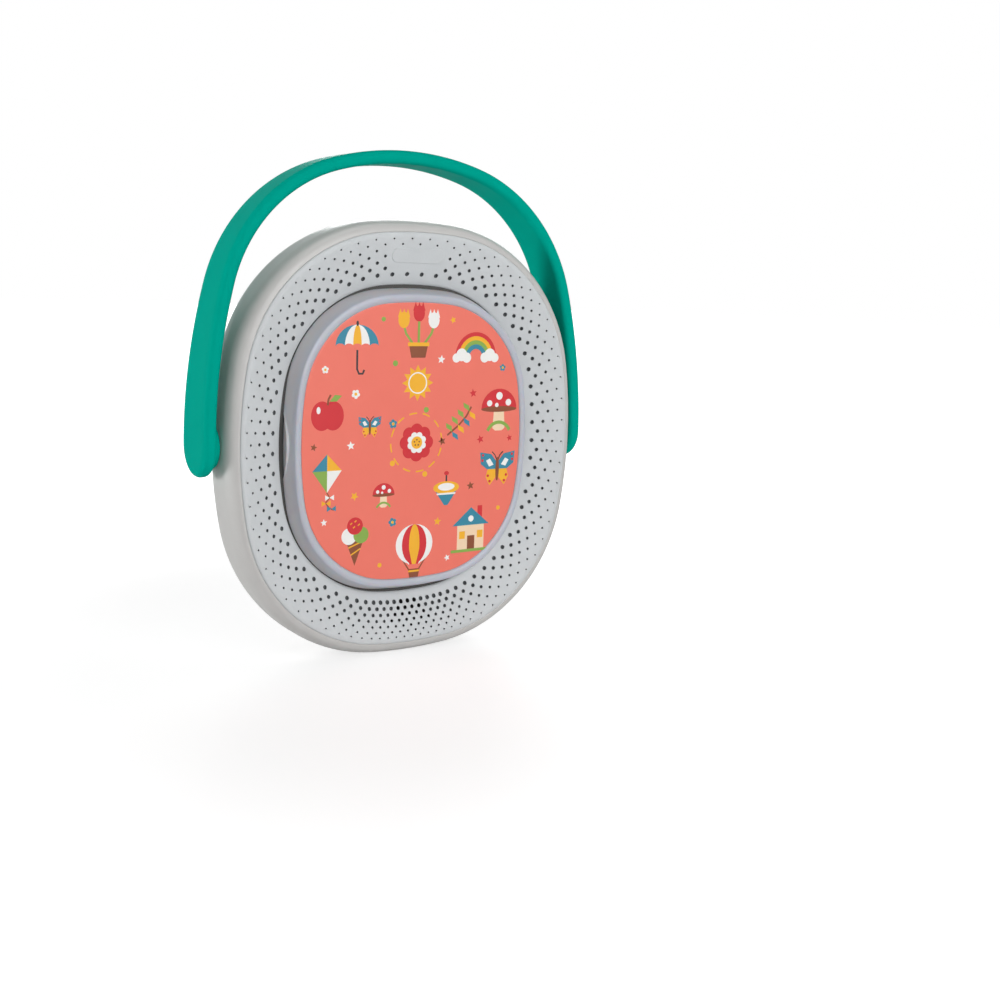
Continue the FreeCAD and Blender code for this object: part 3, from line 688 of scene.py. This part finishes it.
# half width and depth, from the ledge inside the front edge outwards to the round
LEDGE = ((85.31, 6.0), (85.31, 1.35), (85.35, 1.18), (85.5, 1.08), (85.85, 1.1), (86.4, 1.24))
INSIDE = (85.4, 12.0)            # the flank's inside, and where it steps to the ledge
COLLAR = ((7.3, 79.0), (7.3, 88.7), (9.1, 88.7), (9.45, 88.55), (9.6, 88.2), (9.6, 79.0))
BUSH_RADIUS, BUSH_CUT = 7.2, (80.0, 95.0)
CASE_SCREWS = {"angles": (38.0, 112.0, 160.0), "half_width": 76.5, "bore": 3.0, "head": 26.0}
BAY = (60.9, 48.8, 3.0)          # width, height and corner, as below
DOOR = {"outline": (64.9, 52.8, 4.0), "thick": 1.8, "tab": 4.8, "tab_rise": 29.5}
SLIDER = {"pocket": (20.0, 9.0, 4.4), "deep": 1.2, "slot": (11.6, 4.6, 2.2), "rise": 62.0}
PAST, FURTHER = 1.0, 0.5         # a cutter passes a wall by this, and one that crosses it by more


def rear_housing():
    shape = Shape()
    front_centre = (HALF_WIDTH - FRONT_ROUND[0], FRONT_ROUND_END)
    back_centre = (HALF_WIDTH - BACK_ROUND[0], DEPTH - BACK_ROUND[1])
    outside = list(LEDGE) + list(arc(front_centre, (FRONT_ROUND[0], -FRONT_ROUND[1]), 22, 90, 14))
    outside += arc(back_centre, BACK_ROUND, 90, 0, 28)
    inside = arc(back_centre, (BACK_ROUND[0] - WALL, BACK_ROUND[1] - BACK_WALL), 0, 86, 14)
    inside = [p for p in inside if p[0] < INSIDE[0] - SLIVER] + [INSIDE]
    outer_rows, inner_rows = ([shape.row(UNIT, a, t) for a, t in side] for side in (outside, inside))
    shape.skin(outer_rows)
    shape.skin(inner_rows + outer_rows[:1])
    shape.fan(outer_rows[-1], (0.0, DEPTH, 0.0))
    shape.fan(inner_rows[0], (0.0, DEPTH - BACK_WALL, 0.0))
    # the flat land that the housing stands on
    shape.points = [(x, t, max(z, -MIDDLE)) for x, t, z in shape.points]
    for side in (-1, 1):
        collar = [pivot_ring(shape, side * x, radius) for radius, x in COLLAR]
        shape.skin(collar + collar[:1])
    inner, outer, rise = DEPTH - BACK_WALL - PAST, DEPTH + PAST, SLIDER["rise"]
    cutters = [prism(rounded(*BAY), inner, outer),
               prism(rounded(*DOOR["outline"]), DEPTH - DOOR["thick"], outer),
               prism(circle(0, DOOR["tab_rise"], DOOR["tab"]), DEPTH - DOOR["thick"], outer + FURTHER),
               prism(rounded(*SLIDER["pocket"], 0, rise), DEPTH - SLIDER["deep"], outer),
               prism(rounded(*SLIDER["slot"], 0, rise), inner, outer + FURTHER)]
    for angle in CASE_SCREWS["angles"]:
        for side in (-1, 1):
            bore = circle(*spot(side * angle, CASE_SCREWS["half_width"]), CASE_SCREWS["bore"])
            cutters.append(prism(bore, CASE_SCREWS["head"], outer))
    bore = circle(PIVOT_DEPTH, PIVOT_RISE, BUSH_RADIUS)
    cutters += [prism(bore, side * BUSH_CUT[0], side * BUSH_CUT[1], across=True) for side in (-1, 1)]
    return shape.piece("housing_shell", [FINISHES["shell"]], "housing", ["rear_housing"],
                       cutters=cutters)


rear_housing()

# %% [markdown]
# ## The story disc
# The disc is a shallow frosted tray. Its rim stands proud of the label, its wall flares to the base,
# and a shallow notch at its left and right lets a fingertip in. The notch is drawn by lifting the
# base along a circle, so no cutter is needed.


# %% Tray, rim and notches
NOTCH_WIDTH, NOTCH_HEIGHT = 28.5, 4.5
DISC_UNIT = unit_points(np.arange(0, 360, 1.0), DISC_SHAPE)
DISC_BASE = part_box("story_disc")[1].y / MM - FRONT
DISC_HALF = 63.0
LABEL_HALF = (label_high.x - label_low.x) / 2 / MM
LABEL_DEPTH = label_low.y / MM - FRONT
BED = (LABEL_HALF + 0.15, LABEL_DEPTH + 0.25)    # where the label lies: half width and depth
BED_EDGE = ((0.25, 0.55), (0.9, 0.16), (1.7, 0.0))    # outside the bed, and depth
# half width and depth, from the rim down the flared wall, which ends WALL_END over the base
RIM = ((60.0, 0.1), (60.55, 0.5), (60.85, 1.3), (61.3, 3.0), (62.0, 5.2), (62.75, 7.6))
WALL_END = 0.35
FOOT = ((62.95, 0.15), (62.75, 0.0), (62.4, 0.0))    # half width, and how far over the lifted base
LAND = ((62.35, 0.01), (60.2, 0.0), (60.0, 0.2))    # the same over the plain base
UNDERSIDE = ((59.2, 4.0), (58.6, 2.25))    # half width and depth


def notch_lift(x, z):
    """How far the base is lifted at a point of the outline, for a fingertip at either side."""
    radius = (NOTCH_WIDTH ** 2 / 4 + NOTCH_HEIGHT ** 2) / (2 * NOTCH_HEIGHT)
    inside = np.clip(radius ** 2 - z ** 2, 0, None) ** 0.5 - (radius - NOTCH_HEIGHT)
    return np.where(np.abs(x) * TALL > np.abs(z), np.clip(inside, 0, None), 0.0)


def story_disc():
    shape = Shape()
    base = DISC_BASE - notch_lift(*(DISC_HALF * v for v in DISC_UNIT))
    front = smooth([BED] + [(BED[0] + out, t) for out, t in BED_EDGE] + list(RIM), 5)
    rows = [shape.row(DISC_UNIT, a, np.clip(t, 0.0, base - WALL_END)) for a, t in front]
    for level, profile in ((base, FOOT), (DISC_BASE, LAND)):
        rows += [shape.row(DISC_UNIT, a, level - up) for a, up in profile]
    rows += [shape.row(DISC_UNIT, a, t) for a, t in UNDERSIDE]
    shape.skin(rows)
    shape.fan(rows[0], (0.0, BED[1], 0.0))
    shape.fan(rows[-1], (0.0, UNDERSIDE[-1][1], 0.0))
    return shape.piece("disc_tray", [FINISHES["disc"]], "disc", ["story_disc"], sharp=40.0)


story_disc()

# %% [markdown]
# ## The label
# The label is a thin printed film. Its ground is one sheet with a fine edge, in the tray's outline.

# %% The film
FILM = 0.2


def label_film():
    shape = Shape()
    a, front, back = LABEL_HALF, LABEL_DEPTH, LABEL_DEPTH + FILM
    profile = ((a - 1, back), (a, back), (a, front + 0.03), (a - 0.05, front), (a - 1, front))
    rows = [shape.row(DISC_UNIT, *place) for place in profile]
    shape.skin(rows)
    shape.fan(rows[0], (0.0, back, 0.0))
    shape.fan(rows[-1], (0.0, front, 0.0))
    return shape.piece("label_sheet", [INKS["coral"]], "disc", ["disc_label"])


label_film()

# %% [markdown]
# ## The print
# The print is cheerful and belongs to no story: toys, fruit, flowers and weather. A painted image
# would need a picture file, so each colour is a thin plate of ink, a few hundredths of a
# millimetre above the film, and later plates lie on earlier ones. A Pen draws them in the square
# of one motif, whose sides run from -1 to 1, and puts them in place on the label.


# %% A pen for plates of ink
class Pen:
    """Draws plates in a motif's square, which lies at x and z on the label and is turned."""
    LAYER = 0.012                # from one plate to the next
    SUNK = 0.05                  # every plate reaches this far under the film's face

    def __init__(self, shape, x, z, size, turn=0.0):
        self.shape = shape
        self.place = np.array([x, z])
        c, s = cos(radians(turn)), sin(radians(turn))
        self.turn = np.array([[c, s], [-s, c]]) * size
        self.layer = 1

    def plate(self, ink, outline):
        """A plate over the ones before it."""
        points = np.asarray(outline, float) @ self.turn + self.place
        self.layer += 1
        self.shape.tint = list(INKS).index(ink)
        depths = (LABEL_DEPTH - self.LAYER * self.layer, LABEL_DEPTH + self.SUNK)
        self.shape.block([self.shape.add((x, t, z) for x, z in points) for t in depths])

    def taper(self, ink, half, top, low_half, low, x=0.0):
        """A plate with level ends of two half widths."""
        self.plate(ink, [(x - half, top), (x + half, top), (x + low_half, low), (x - low_half, low)])

    def oval(self, ink, x, z, wide, high=None, start=0.0, end=360.0):
        """An ellipse, or the part of one between two angles from the right."""
        steps = max(6, round((end - start) / 12))
        turns = np.radians(np.linspace(start, end, steps + 1)[:steps if end - start == 360 else None])
        self.plate(ink, [(x + wide * cos(g), z + (high or wide) * sin(g)) for g in turns])

    def line(self, ink, points, width):
        """A band of even width along a few points."""
        path = np.array(points, float)
        along = np.gradient(path, axis=0)
        side = np.stack([-along[:, 1], along[:, 0]], 1) / np.linalg.norm(along, axis=1)[:, None] * width / 2
        self.plate(ink, list(path + side) + list((path - side)[::-1]))

    def bow(self, ink, x, z, radius, width, start=0.0, end=180.0):
        """A band along an arc."""
        turns = np.radians(np.linspace(start, end, max(4, round((end - start) / 10))))
        self.line(ink, list(zip(*around((x, z), radius, turns))), width)

    def star(self, ink, x, z, radius, tips=5, inner=0.45, first=90.0):
        """A star whose inner corners lie at a share of its radius."""
        corners = np.arange(2 * tips)
        radii = radius * np.where(corners % 2, inner, 1)
        self.plate(ink, list(zip(*around((x, z), radii, np.radians(first + 180.0 * corners / tips)))))

    def petals(self, ink, x, z, ring, size, count, first=90.0):
        """Round spots in a ring."""
        for turn in np.radians(first + 360.0 * np.arange(count) / count):
            self.oval(ink, *around((x, z), ring, turn), size)


# %% Things that fly
def balloon(pen):
    for s in (-1, 1):
        pen.line("brown", [(s * 0.62, -0.1), (s * 0.2, -0.72)], 0.05)
    pen.taper("white", 0.72, 0.0, 0.22, -0.5)
    for ink, wide in (("white", 0.78), ("red", 0.52), ("yellow", 0.22)):
        pen.oval(ink, 0, 0.25, wide, 0.75)
    pen.taper("red", 0.5, 0.05, 0.18, -0.5)
    pen.taper("yellow", 0.21, 0.05, 0.08, -0.5)
    pen.taper("brown", 0.24, -0.68, 0.18, -1.0)
    pen.taper("yellow", 0.23, -0.725, 0.23, -0.795)


def kite(pen):
    pen.line("brown", [(0, -0.5), (0.12, -0.7), (-0.05, -0.9), (0.1, -1.1), (0.3, -1.2)], 0.05)
    for x, z, ink in ((0.12, -0.7, "white"), (-0.03, -0.92, "yellow"), (0.2, -1.14, "teal")):
        for side in (-0.19, 0.19):
            pen.plate(ink, [(x, z), (x + side, z + 0.11), (x + side, z - 0.11)])
    for ink, x, z in (("teal", -0.62, 1.0), ("yellow", 0.62, 1.0),
                      ("green", -0.62, -0.5), ("white", 0.62, -0.5)):
        pen.plate(ink, [(0, 0.35), (x, 0.35), (0, z)])


def butterfly(pen):
    for s in (-1, 1):
        pen.line("black", [(0, 0.35), (s * 0.14, 0.65), (s * 0.3, 0.8)], 0.05)
        pen.plate("yellow", [(0, 0.1), (s * 0.5, 0.05), (s * 0.62, -0.35), (s * 0.4, -0.75), (0, -0.3)])
        pen.plate("teal", [(0, 0.3), (s * 0.35, 0.7), (s * 0.95, 0.8), (s * 0.9, 0.25), (s * 0.55, 0.0),
                           (0, 0.0)])
        pen.plate("white", [(s * 0.2, 0.2), (s * 0.42, 0.5), (s * 0.62, 0.4), (s * 0.45, 0.12)])
        for x, z in ((0.8, 0.66), (0.82, 0.42), (0.5, -0.3), (0.4, -0.56)):
            pen.oval("red", s * x, z, 0.065)
    pen.oval("brown", 0, 0, 0.09, 0.55)


# %% Things that grow
def mushroom(pen):
    pen.plate("cream", [(-0.24, 0.1), (0.24, 0.1), (0.3, -0.85), (0.16, -0.95), (-0.16, -0.95),
                        (-0.3, -0.85)])
    pen.oval("red", 0, -0.05, 0.88, 0.85, 0, 180)
    pen.oval("brown", 0, -0.05, 0.88, 0.12)
    for x, z, size in ((-0.48, 0.2, 0.13), (0.0, 0.5, 0.16), (0.46, 0.22, 0.14), (-0.12, 0.12, 0.09)):
        pen.oval("white", x, z, size)
    pen.bow("green", 0, -1.2, 0.6, 0.14, 25, 155)


def tulips(pen):
    for x, lean, ink in ((-0.5, -0.15, "yellow"), (0.5, 0.15, "white"), (0.0, 0.0, "red")):
        top = 0.45 if x == 0 else 0.2
        pen.line("green", [(0.3 * x, -0.6), (0.8 * x + lean, -0.1), (x + lean, top)], 0.09)
        pen.oval(ink, x + lean, top + 0.2, 0.24, 0.3)
        for tip in (x + lean - 0.16, x + lean, x + lean + 0.16):
            pen.plate(ink, [(tip - 0.1, top + 0.3), (tip + 0.1, top + 0.3), (tip, top + 0.62)])
    pen.taper("brown", 0.42, -0.45, 0.3, -1.0)
    pen.taper("yellow", 0.46, -0.43, 0.46, -0.57)


def apple(pen):
    for x in (-0.26, 0.26):
        pen.oval("red", x, -0.1, 0.5, 0.62)
    pen.line("brown", [(0.0, 0.35), (0.04, 0.6), (0.14, 0.78)], 0.09)
    pen.plate("green", [(0.08, 0.5), (0.34, 0.78), (0.66, 0.74), (0.42, 0.5)])
    pen.oval("white", -0.42, 0.14, 0.09, 0.15)


def leafy_branch(pen):
    pen.line("brown", [(-0.9, -0.6), (-0.2, -0.1), (0.3, 0.4), (0.6, 0.9)], 0.1)
    for i in range(4):
        x, z = -0.6 + 0.36 * i, -0.42 + 0.36 * i
        for side, ink in ((1, "green"), (-1, "yellow" if i % 2 else "teal")):
            dx, dz = side * -0.2, side * 0.24
            pen.plate(ink, [(x, z), (x + dx - 0.16, z + dz - 0.02), (x + 2 * dx, z + 2 * dz),
                            (x + dx + 0.16, z + dz + 0.06)])


# %% Things to play and shelter with
def house(pen):
    pen.plate("red", [(0.32, 0.3), (0.32, 0.95), (0.55, 0.95), (0.55, 0.3)])
    pen.taper("cream", 0.66, 0.2, 0.66, -0.9)
    pen.plate("teal", [(-0.9, 0.15), (0.9, 0.15), (0.0, 0.9)])
    pen.taper("brown", 0.18, -0.9, 0.18, -0.3, 0.02)
    for x in (-0.42, 0.46):
        pen.taper("yellow", 0.14, -0.1, 0.14, -0.42, x)
    pen.oval("white", 0, 0.42, 0.13)
    pen.taper("green", 0.95, -0.87, 0.95, -0.99)


def umbrella(pen):
    pen.line("black", [(0, 0.3), (0, -0.75), (0.08, -0.92), (0.24, -0.92), (0.3, -0.78)], 0.08)
    for ink, wide in (("teal", 0.9), ("white", 0.52), ("yellow", 0.18)):
        pen.oval(ink, 0, 0.1, wide, 0.8, 0, 180)
    for x in (-0.71, -0.35, 0, 0.35, 0.71):
        pen.oval("coral", x, 0.08, 0.19, 0.12)
    pen.oval("black", 0, 0.94, 0.05, 0.1)


def rainbow(pen):
    for radius, ink in ((0.86, "red"), (0.7, "yellow"), (0.54, "green"), (0.38, "teal")):
        pen.bow(ink, 0, -0.3, radius, 0.18)
    for side in (-1, 1):
        for x, z, size in ((0.42, -0.35, 0.2), (0.66, -0.24, 0.25), (0.9, -0.36, 0.18)):
            pen.oval("white", side * x, z, size)


def ice_cream(pen):
    pen.plate("brown", [(-0.36, -0.05), (0.36, -0.05), (0.0, -1.0)])
    pen.line("yellow", [(-0.26, -0.3), (0.3, -0.1)], 0.05)
    pen.line("yellow", [(-0.16, -0.58), (0.24, -0.36)], 0.05)
    pen.oval("white", -0.24, 0.14, 0.32)
    pen.oval("green", 0.26, 0.16, 0.32)
    pen.oval("red", 0, 0.52, 0.33)
    for x, z in ((-0.16, 0.62), (0.02, 0.7), (0.16, 0.56), (-0.04, 0.48)):
        pen.line("yellow", [(x - 0.04, z - 0.03), (x + 0.04, z + 0.03)], 0.04)


def spinning_top(pen):
    pen.line("black", [(0, 0.4), (0, 0.95)], 0.1)
    pen.oval("red", 0, 0.95, 0.16, 0.12)
    pen.taper("teal", 0.85, 0.12, 0.12, -0.9)
    pen.oval("yellow", 0, 0.12, 0.86, 0.36)
    pen.oval("white", 0, 0.16, 0.55, 0.22)
    pen.taper("white", 0.62, -0.19, 0.62, -0.29)


def sun(pen):
    pen.star("yellow", 0, 0, 1.0, 12, 0.68)
    pen.oval("white", 0, 0, 0.6)
    pen.oval("yellow", 0, 0, 0.53)


def blossom(pen):
    for i in range(12):
        pen.bow("yellow", 0, 0, 1.42, 0.07, 30 * i, 30 * i + 17)
    pen.petals("red", 0, 0, 0.58, 0.34, 8)
    pen.petals("white", 0, 0, 0.36, 0.17, 8, 67.5)
    pen.oval("yellow", 0, 0, 0.3)
    pen.petals("brown", 0, 0, 0.14, 0.04, 5)


# %% Print the label
# each motif and its size
RING = ((balloon, 12.6), (house, 11.4), (butterfly, 10.4), (mushroom, 11.4), (rainbow, 11.8),
        (tulips, 12.0), (umbrella, 11.8), (apple, 10.4), (kite, 11.4), (ice_cream, 12.0))
INNER = ((spinning_top, 8.2), (leafy_branch, 8.6), (sun, 8.2), (butterfly, 6.0), (mushroom, 6.4))
CROWD = (("star", "white"), ("dot", "yellow"), ("star", "red"), ("flower", "teal"), ("star", "yellow"),
         ("dot", "green"), ("flower", "white"), ("star", "brown"))
# shares of the label's half width: the motifs' rings, and the small things between them
SHARES = {"ring": 0.8, "inner": 0.43, "edge": 0.9, "niches": (0.24, 0.61), "between": 0.585}
BLOSSOM, EDGE_SIZE, NICHE_SIZE = 9.5, 1.7, 2.1


def small_thing(shape, kind, ink, x, z, size):
    """A star, a flower or a dot, turned by its place."""
    pen = Pen(shape, x, z, size, 17.0 * x)
    if kind == "flower":
        pen.petals(ink, 0, 0, 0.6, 0.4, 5)
        pen.oval("yellow", 0, 0, 0.34)
    elif kind == "star":
        pen.star(ink, 0, 0, 1.0)
    else:
        pen.oval(ink, 0, 0, 0.62)


def spots(count, shift, share):
    """Spots in a ring from the bottom of the label, shifted by a share of a step."""
    return [spot(360.0 * (i + shift) / count, LABEL_HALF * share, DISC_SHAPE) for i in range(count)]


def label_print():
    shape = Shape()
    for (motif, size), place in zip(RING, spots(len(RING), 0, SHARES["ring"])):
        motif(Pen(shape, *place, size))
    for (motif, size), place in zip(INNER, spots(len(INNER), 0.5, SHARES["inner"])):
        motif(Pen(shape, *place, size))
    blossom(Pen(shape, 0.0, 0.0, BLOSSOM))
    for i, place in enumerate(spots(len(RING), 0.5, SHARES["edge"])):
        small_thing(shape, *CROWD[i % len(CROWD)], *place, EDGE_SIZE)
    pairs = zip(*(spots(len(INNER), 0.25, share) for share in SHARES["niches"]))
    niches = [place for pair in pairs for place in pair] + spots(len(INNER), 0.75, SHARES["between"])
    for i, place in enumerate(niches):
        small_thing(shape, *CROWD[(3 * i + 1) % len(CROWD)], *place, NICHE_SIZE)
    return shape.piece("label_print", list(INKS.values()), "disc")


label_print()

# %% [markdown]
# ## The handle
# The handle is one moulded band over the housing, widest at its round ends on the pivots. A bevel
# would round its sides, but the ends need the same soft edge. So the band is a width along a line,
# and its thickness falls off towards the edge.

# %% The band
HANDLE_SHAPE = (0.773, 14.8, 74.1)
handle_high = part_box("handle")[1]
HANDLE_HALF = handle_high.x / MM
HANDLE_TOP = handle_high.z / MM - MIDDLE
HANDLE_THICK = 5.9
LOW_HALF, HIGH_HALF = 26.9 / 2, 21.1 / 2    # half widths at the pivots and TAPER_PAST over the top
TAPER_PAST = 5.0
EDGE_ROUND = 2.5
MIDDLE_LINES = [4.0, 7.0]        # lines along the band, this far from its edge
START = 0.1                      # the arch begins this far over the pivots


def arch_line():
    """Points and outward normals of the arch's outside, from the left foot to the right one."""
    left = [(-HANDLE_HALF, PIVOT_RISE - LOW_HALF * cos(turn), -1.0, 0.0)
            for turn in np.radians(np.linspace(3, 90, 16))]
    over = []
    for turn in np.linspace(180, 0, 241):
        x, z = (HANDLE_HALF * v for v in unit_by_normal(turn, HANDLE_SHAPE, HANDLE_TOP / HANDLE_HALF))
        if z > PIVOT_RISE + START:
            over.append((x, z, cos(radians(turn)), sin(radians(turn))))
    return left + over + [(-x, z, -nx, nz) for x, z, nx, nz in left[::-1]]


def handle_band(shape):
    """The arched band. Its half thickness falls off within EDGE_ROUND of the edge."""
    half = HANDLE_THICK / 2
    steps = [EDGE_ROUND * (1 - cos(turn)) for turn in np.linspace(0, pi / 2, 7)] + MIDDLE_LINES
    rings = []
    for x, z, nx, nz in arch_line():
        above = z - PIVOT_RISE
        if above > 0:
            share = above / (HANDLE_TOP + TAPER_PAST - PIVOT_RISE)
            width = LOW_HALF + (HIGH_HALF - LOW_HALF) * share
        else:
            width = sqrt(LOW_HALF ** 2 - above ** 2)
        across = [width - min(d, width) for d in steps]
        outer, inner = [], []
        for q in across + [-q for q in across[::-1]]:
            gap = width - abs(q) if above > 0 else LOW_HALF - hypot(q, above)
            d = min(max(gap, 0.0), EDGE_ROUND)
            thick = half - EDGE_ROUND + sqrt(EDGE_ROUND ** 2 - (EDGE_ROUND - d) ** 2)
            for side, deep in ((outer, half - thick), (inner, half + thick)):
                side.append((x - nx * deep, PIVOT_DEPTH - q, z - nz * deep))
        rings.append(shape.add(outer + inner[::-1]))
    shape.block(rings)


# %% Hubs and journals
HUB_RADIUS, HUB_END = 10.0, HALF_WIDTH + 0.4
JOURNAL_RADIUS, JOURNAL_END, JOURNAL_BORE = 5.0, 78.2, 1.5
LEG = HANDLE_HALF - HANDLE_THICK
# radius and place on the axis
HUB = ((HUB_RADIUS + 0.8, LEG + 0.3), (HUB_RADIUS + 0.35, LEG - 0.35), (HUB_RADIUS, LEG - 0.9),
       (HUB_RADIUS, HUB_END + 0.6), (HUB_RADIUS - 0.2, HUB_END + 0.2), (HUB_RADIUS - 0.6, HUB_END),
       (JOURNAL_RADIUS, HUB_END), (JOURNAL_RADIUS, JOURNAL_END), (JOURNAL_BORE, JOURNAL_END))

band = Shape()
handle_band(band)
for side in (-1, 1):
    band.block([pivot_ring(band, side * x, radius, 60) for radius, x in HUB])
band.piece("handle_band", [FINISHES["handle"]], "carry_handle", ["handle"], sharp=40.0)

# %% [markdown]
# ## The frame's own pieces
# Keys, screws, cells and boards keep their mesh and get a finish by the material slot that the
# record gives them.

# %% Finish the pieces that stay
for part in frame["record"]["subparts"]:
    thing = frame["nodes"][part["node"]]
    thing.data.materials.clear()
    thing.data.materials.append(FINISHES[part["material_slot"]])

# %% [markdown]
# ## Floor, light and camera
# The ground is white with a soft shadow: the floor is pale and lit like the rest, and for camera
# rays it is mixed with white. The largest lamp is in front. A low one at the back left lights the
# flank, one above the cover's top, and one at the back right the back and the handle's inside.

# %% Ground and background
WHITE = (1.0, 1.0, 1.0, 1.0)
FLOOR_HALF, FLOOR_TONE, FLOOR_GLOW = 6.0, 0.85, 1.5
# the glow's share by the distance from the player, in metres
GLOW_SHARE = {"From Min": 0.12, "From Max": 0.5, "To Min": 0.43, "To Max": 1.0}
AMBIENT = 0.06


def white_ground():
    mesh = bpy.data.meshes.new("floor")
    corners = [(x * FLOOR_HALF, y * FLOOR_HALF, 0) for x, y in ((-1, -1), (1, -1), (1, 1), (-1, 1))]
    mesh.from_pydata(corners, [], [(0, 1, 2, 3)])
    floor = new_object("floor", mesh)
    finish = Finish("floor_pale", {"Base Color": (FLOOR_TONE, FLOOR_TONE, FLOOR_TONE, 1.0), "Roughness": 0.6})
    seen = finish.node("LightPath", output="Is Camera Ray")
    glow = finish.node("Emission", {}, {"Color": WHITE, "Strength": FLOOR_GLOW})
    place = finish.node("TexCoord", output="Object")
    away = finish.node("VectorMath", {"operation": "LENGTH"}, {0: place}, output="Value")
    share = finish.node("MapRange", {"interpolation_type": "SMOOTHSTEP"}, {"Value": away, **GLOW_SHARE})
    mix = finish.node("MixShader", {}, {0: seen * share, 1: Link(finish, finish.shader.outputs[0]), 2: glow})
    finish.join(mix, finish.tree.nodes["Material Output"].inputs["Surface"])
    mesh.materials.append(finish.material)


def white_world():
    """White to the camera, in mirrors and through glass. The light that it casts is dimmer."""
    world = bpy.data.worlds.new("studio")
    bpy.context.scene.world = world
    world.use_nodes = True
    nodes = Nodes(world.node_tree)
    share = nodes.node("LightPath", output="Is Camera Ray")
    for ray in ("Is Glossy Ray", "Is Transmission Ray"):
        share = share.maths("MAXIMUM", share, nodes.node("LightPath", output=ray))
    strength = nodes.node("MapRange", {}, {"Value": share, "To Min": AMBIENT, "To Max": 1.0})
    back = nodes.tree.nodes["Background"]
    nodes.join(WHITE, back.inputs["Color"])
    nodes.join(strength, back.inputs["Strength"])


LAMP_TARGET = Vector((0, 0, 0.1))


def lamp(name, place, size, power):
    """A rectangular lamp that faces the player."""
    data = bpy.data.lights.new(name, "AREA")
    data.shape = "RECTANGLE"
    data.size, data.size_y = size
    data.energy = power
    thing = new_object(name, data)
    thing.location = place
    thing.rotation_euler = (LAMP_TARGET - Vector(place)).to_track_quat("-Z", "Y").to_euler()


white_ground()
white_world()
lamp("side_left", (-1.95, 0.95, 0.14), (0.6, 0.6), 34.0)
lamp("front", (0.0, -2.2, 0.9), (2.0, 1.6), 37.0)
lamp("top", (0.0, -0.1, 2.0), (1.2, 1.0), 7.0)
lamp("back_right", (1.3, 1.8, 0.8), (1.2, 1.2), 20.0)
print("lamps:", len(bpy.data.lights))

# %% The camera
CAMERA_PLACE = Vector((-0.28628, -0.50319, 0.17304))
YAW, PITCH, ROLL = 0.6022977, 0.1748599, 0.0343698    # radians: to the right, down and tilted
FOCAL_PIXELS = 1237.76           # focal length, in pixels of a picture PICTURE wide
PICTURE = 1000.0


def camera():
    ahead = Vector((sin(YAW) * cos(PITCH), cos(YAW) * cos(PITCH), -sin(PITCH)))
    right = Vector((cos(YAW), -sin(YAW), 0.0))
    up = right.cross(ahead)
    tilted_right = cos(ROLL) * right + sin(ROLL) * up
    tilted_up = -sin(ROLL) * right + cos(ROLL) * up
    data = bpy.data.cameras.new("camera")
    data.sensor_width = 36.0
    data.lens = data.sensor_width * FOCAL_PIXELS / PICTURE
    thing = new_object("camera", data)
    turn = Matrix((tilted_right, tilted_up, -ahead)).transposed().to_4x4()
    thing.matrix_world = Matrix.Translation(CAMERA_PLACE) @ turn
    bpy.context.scene.camera = thing


camera()
bpy.context.scene.view_settings.view_transform = "Standard"
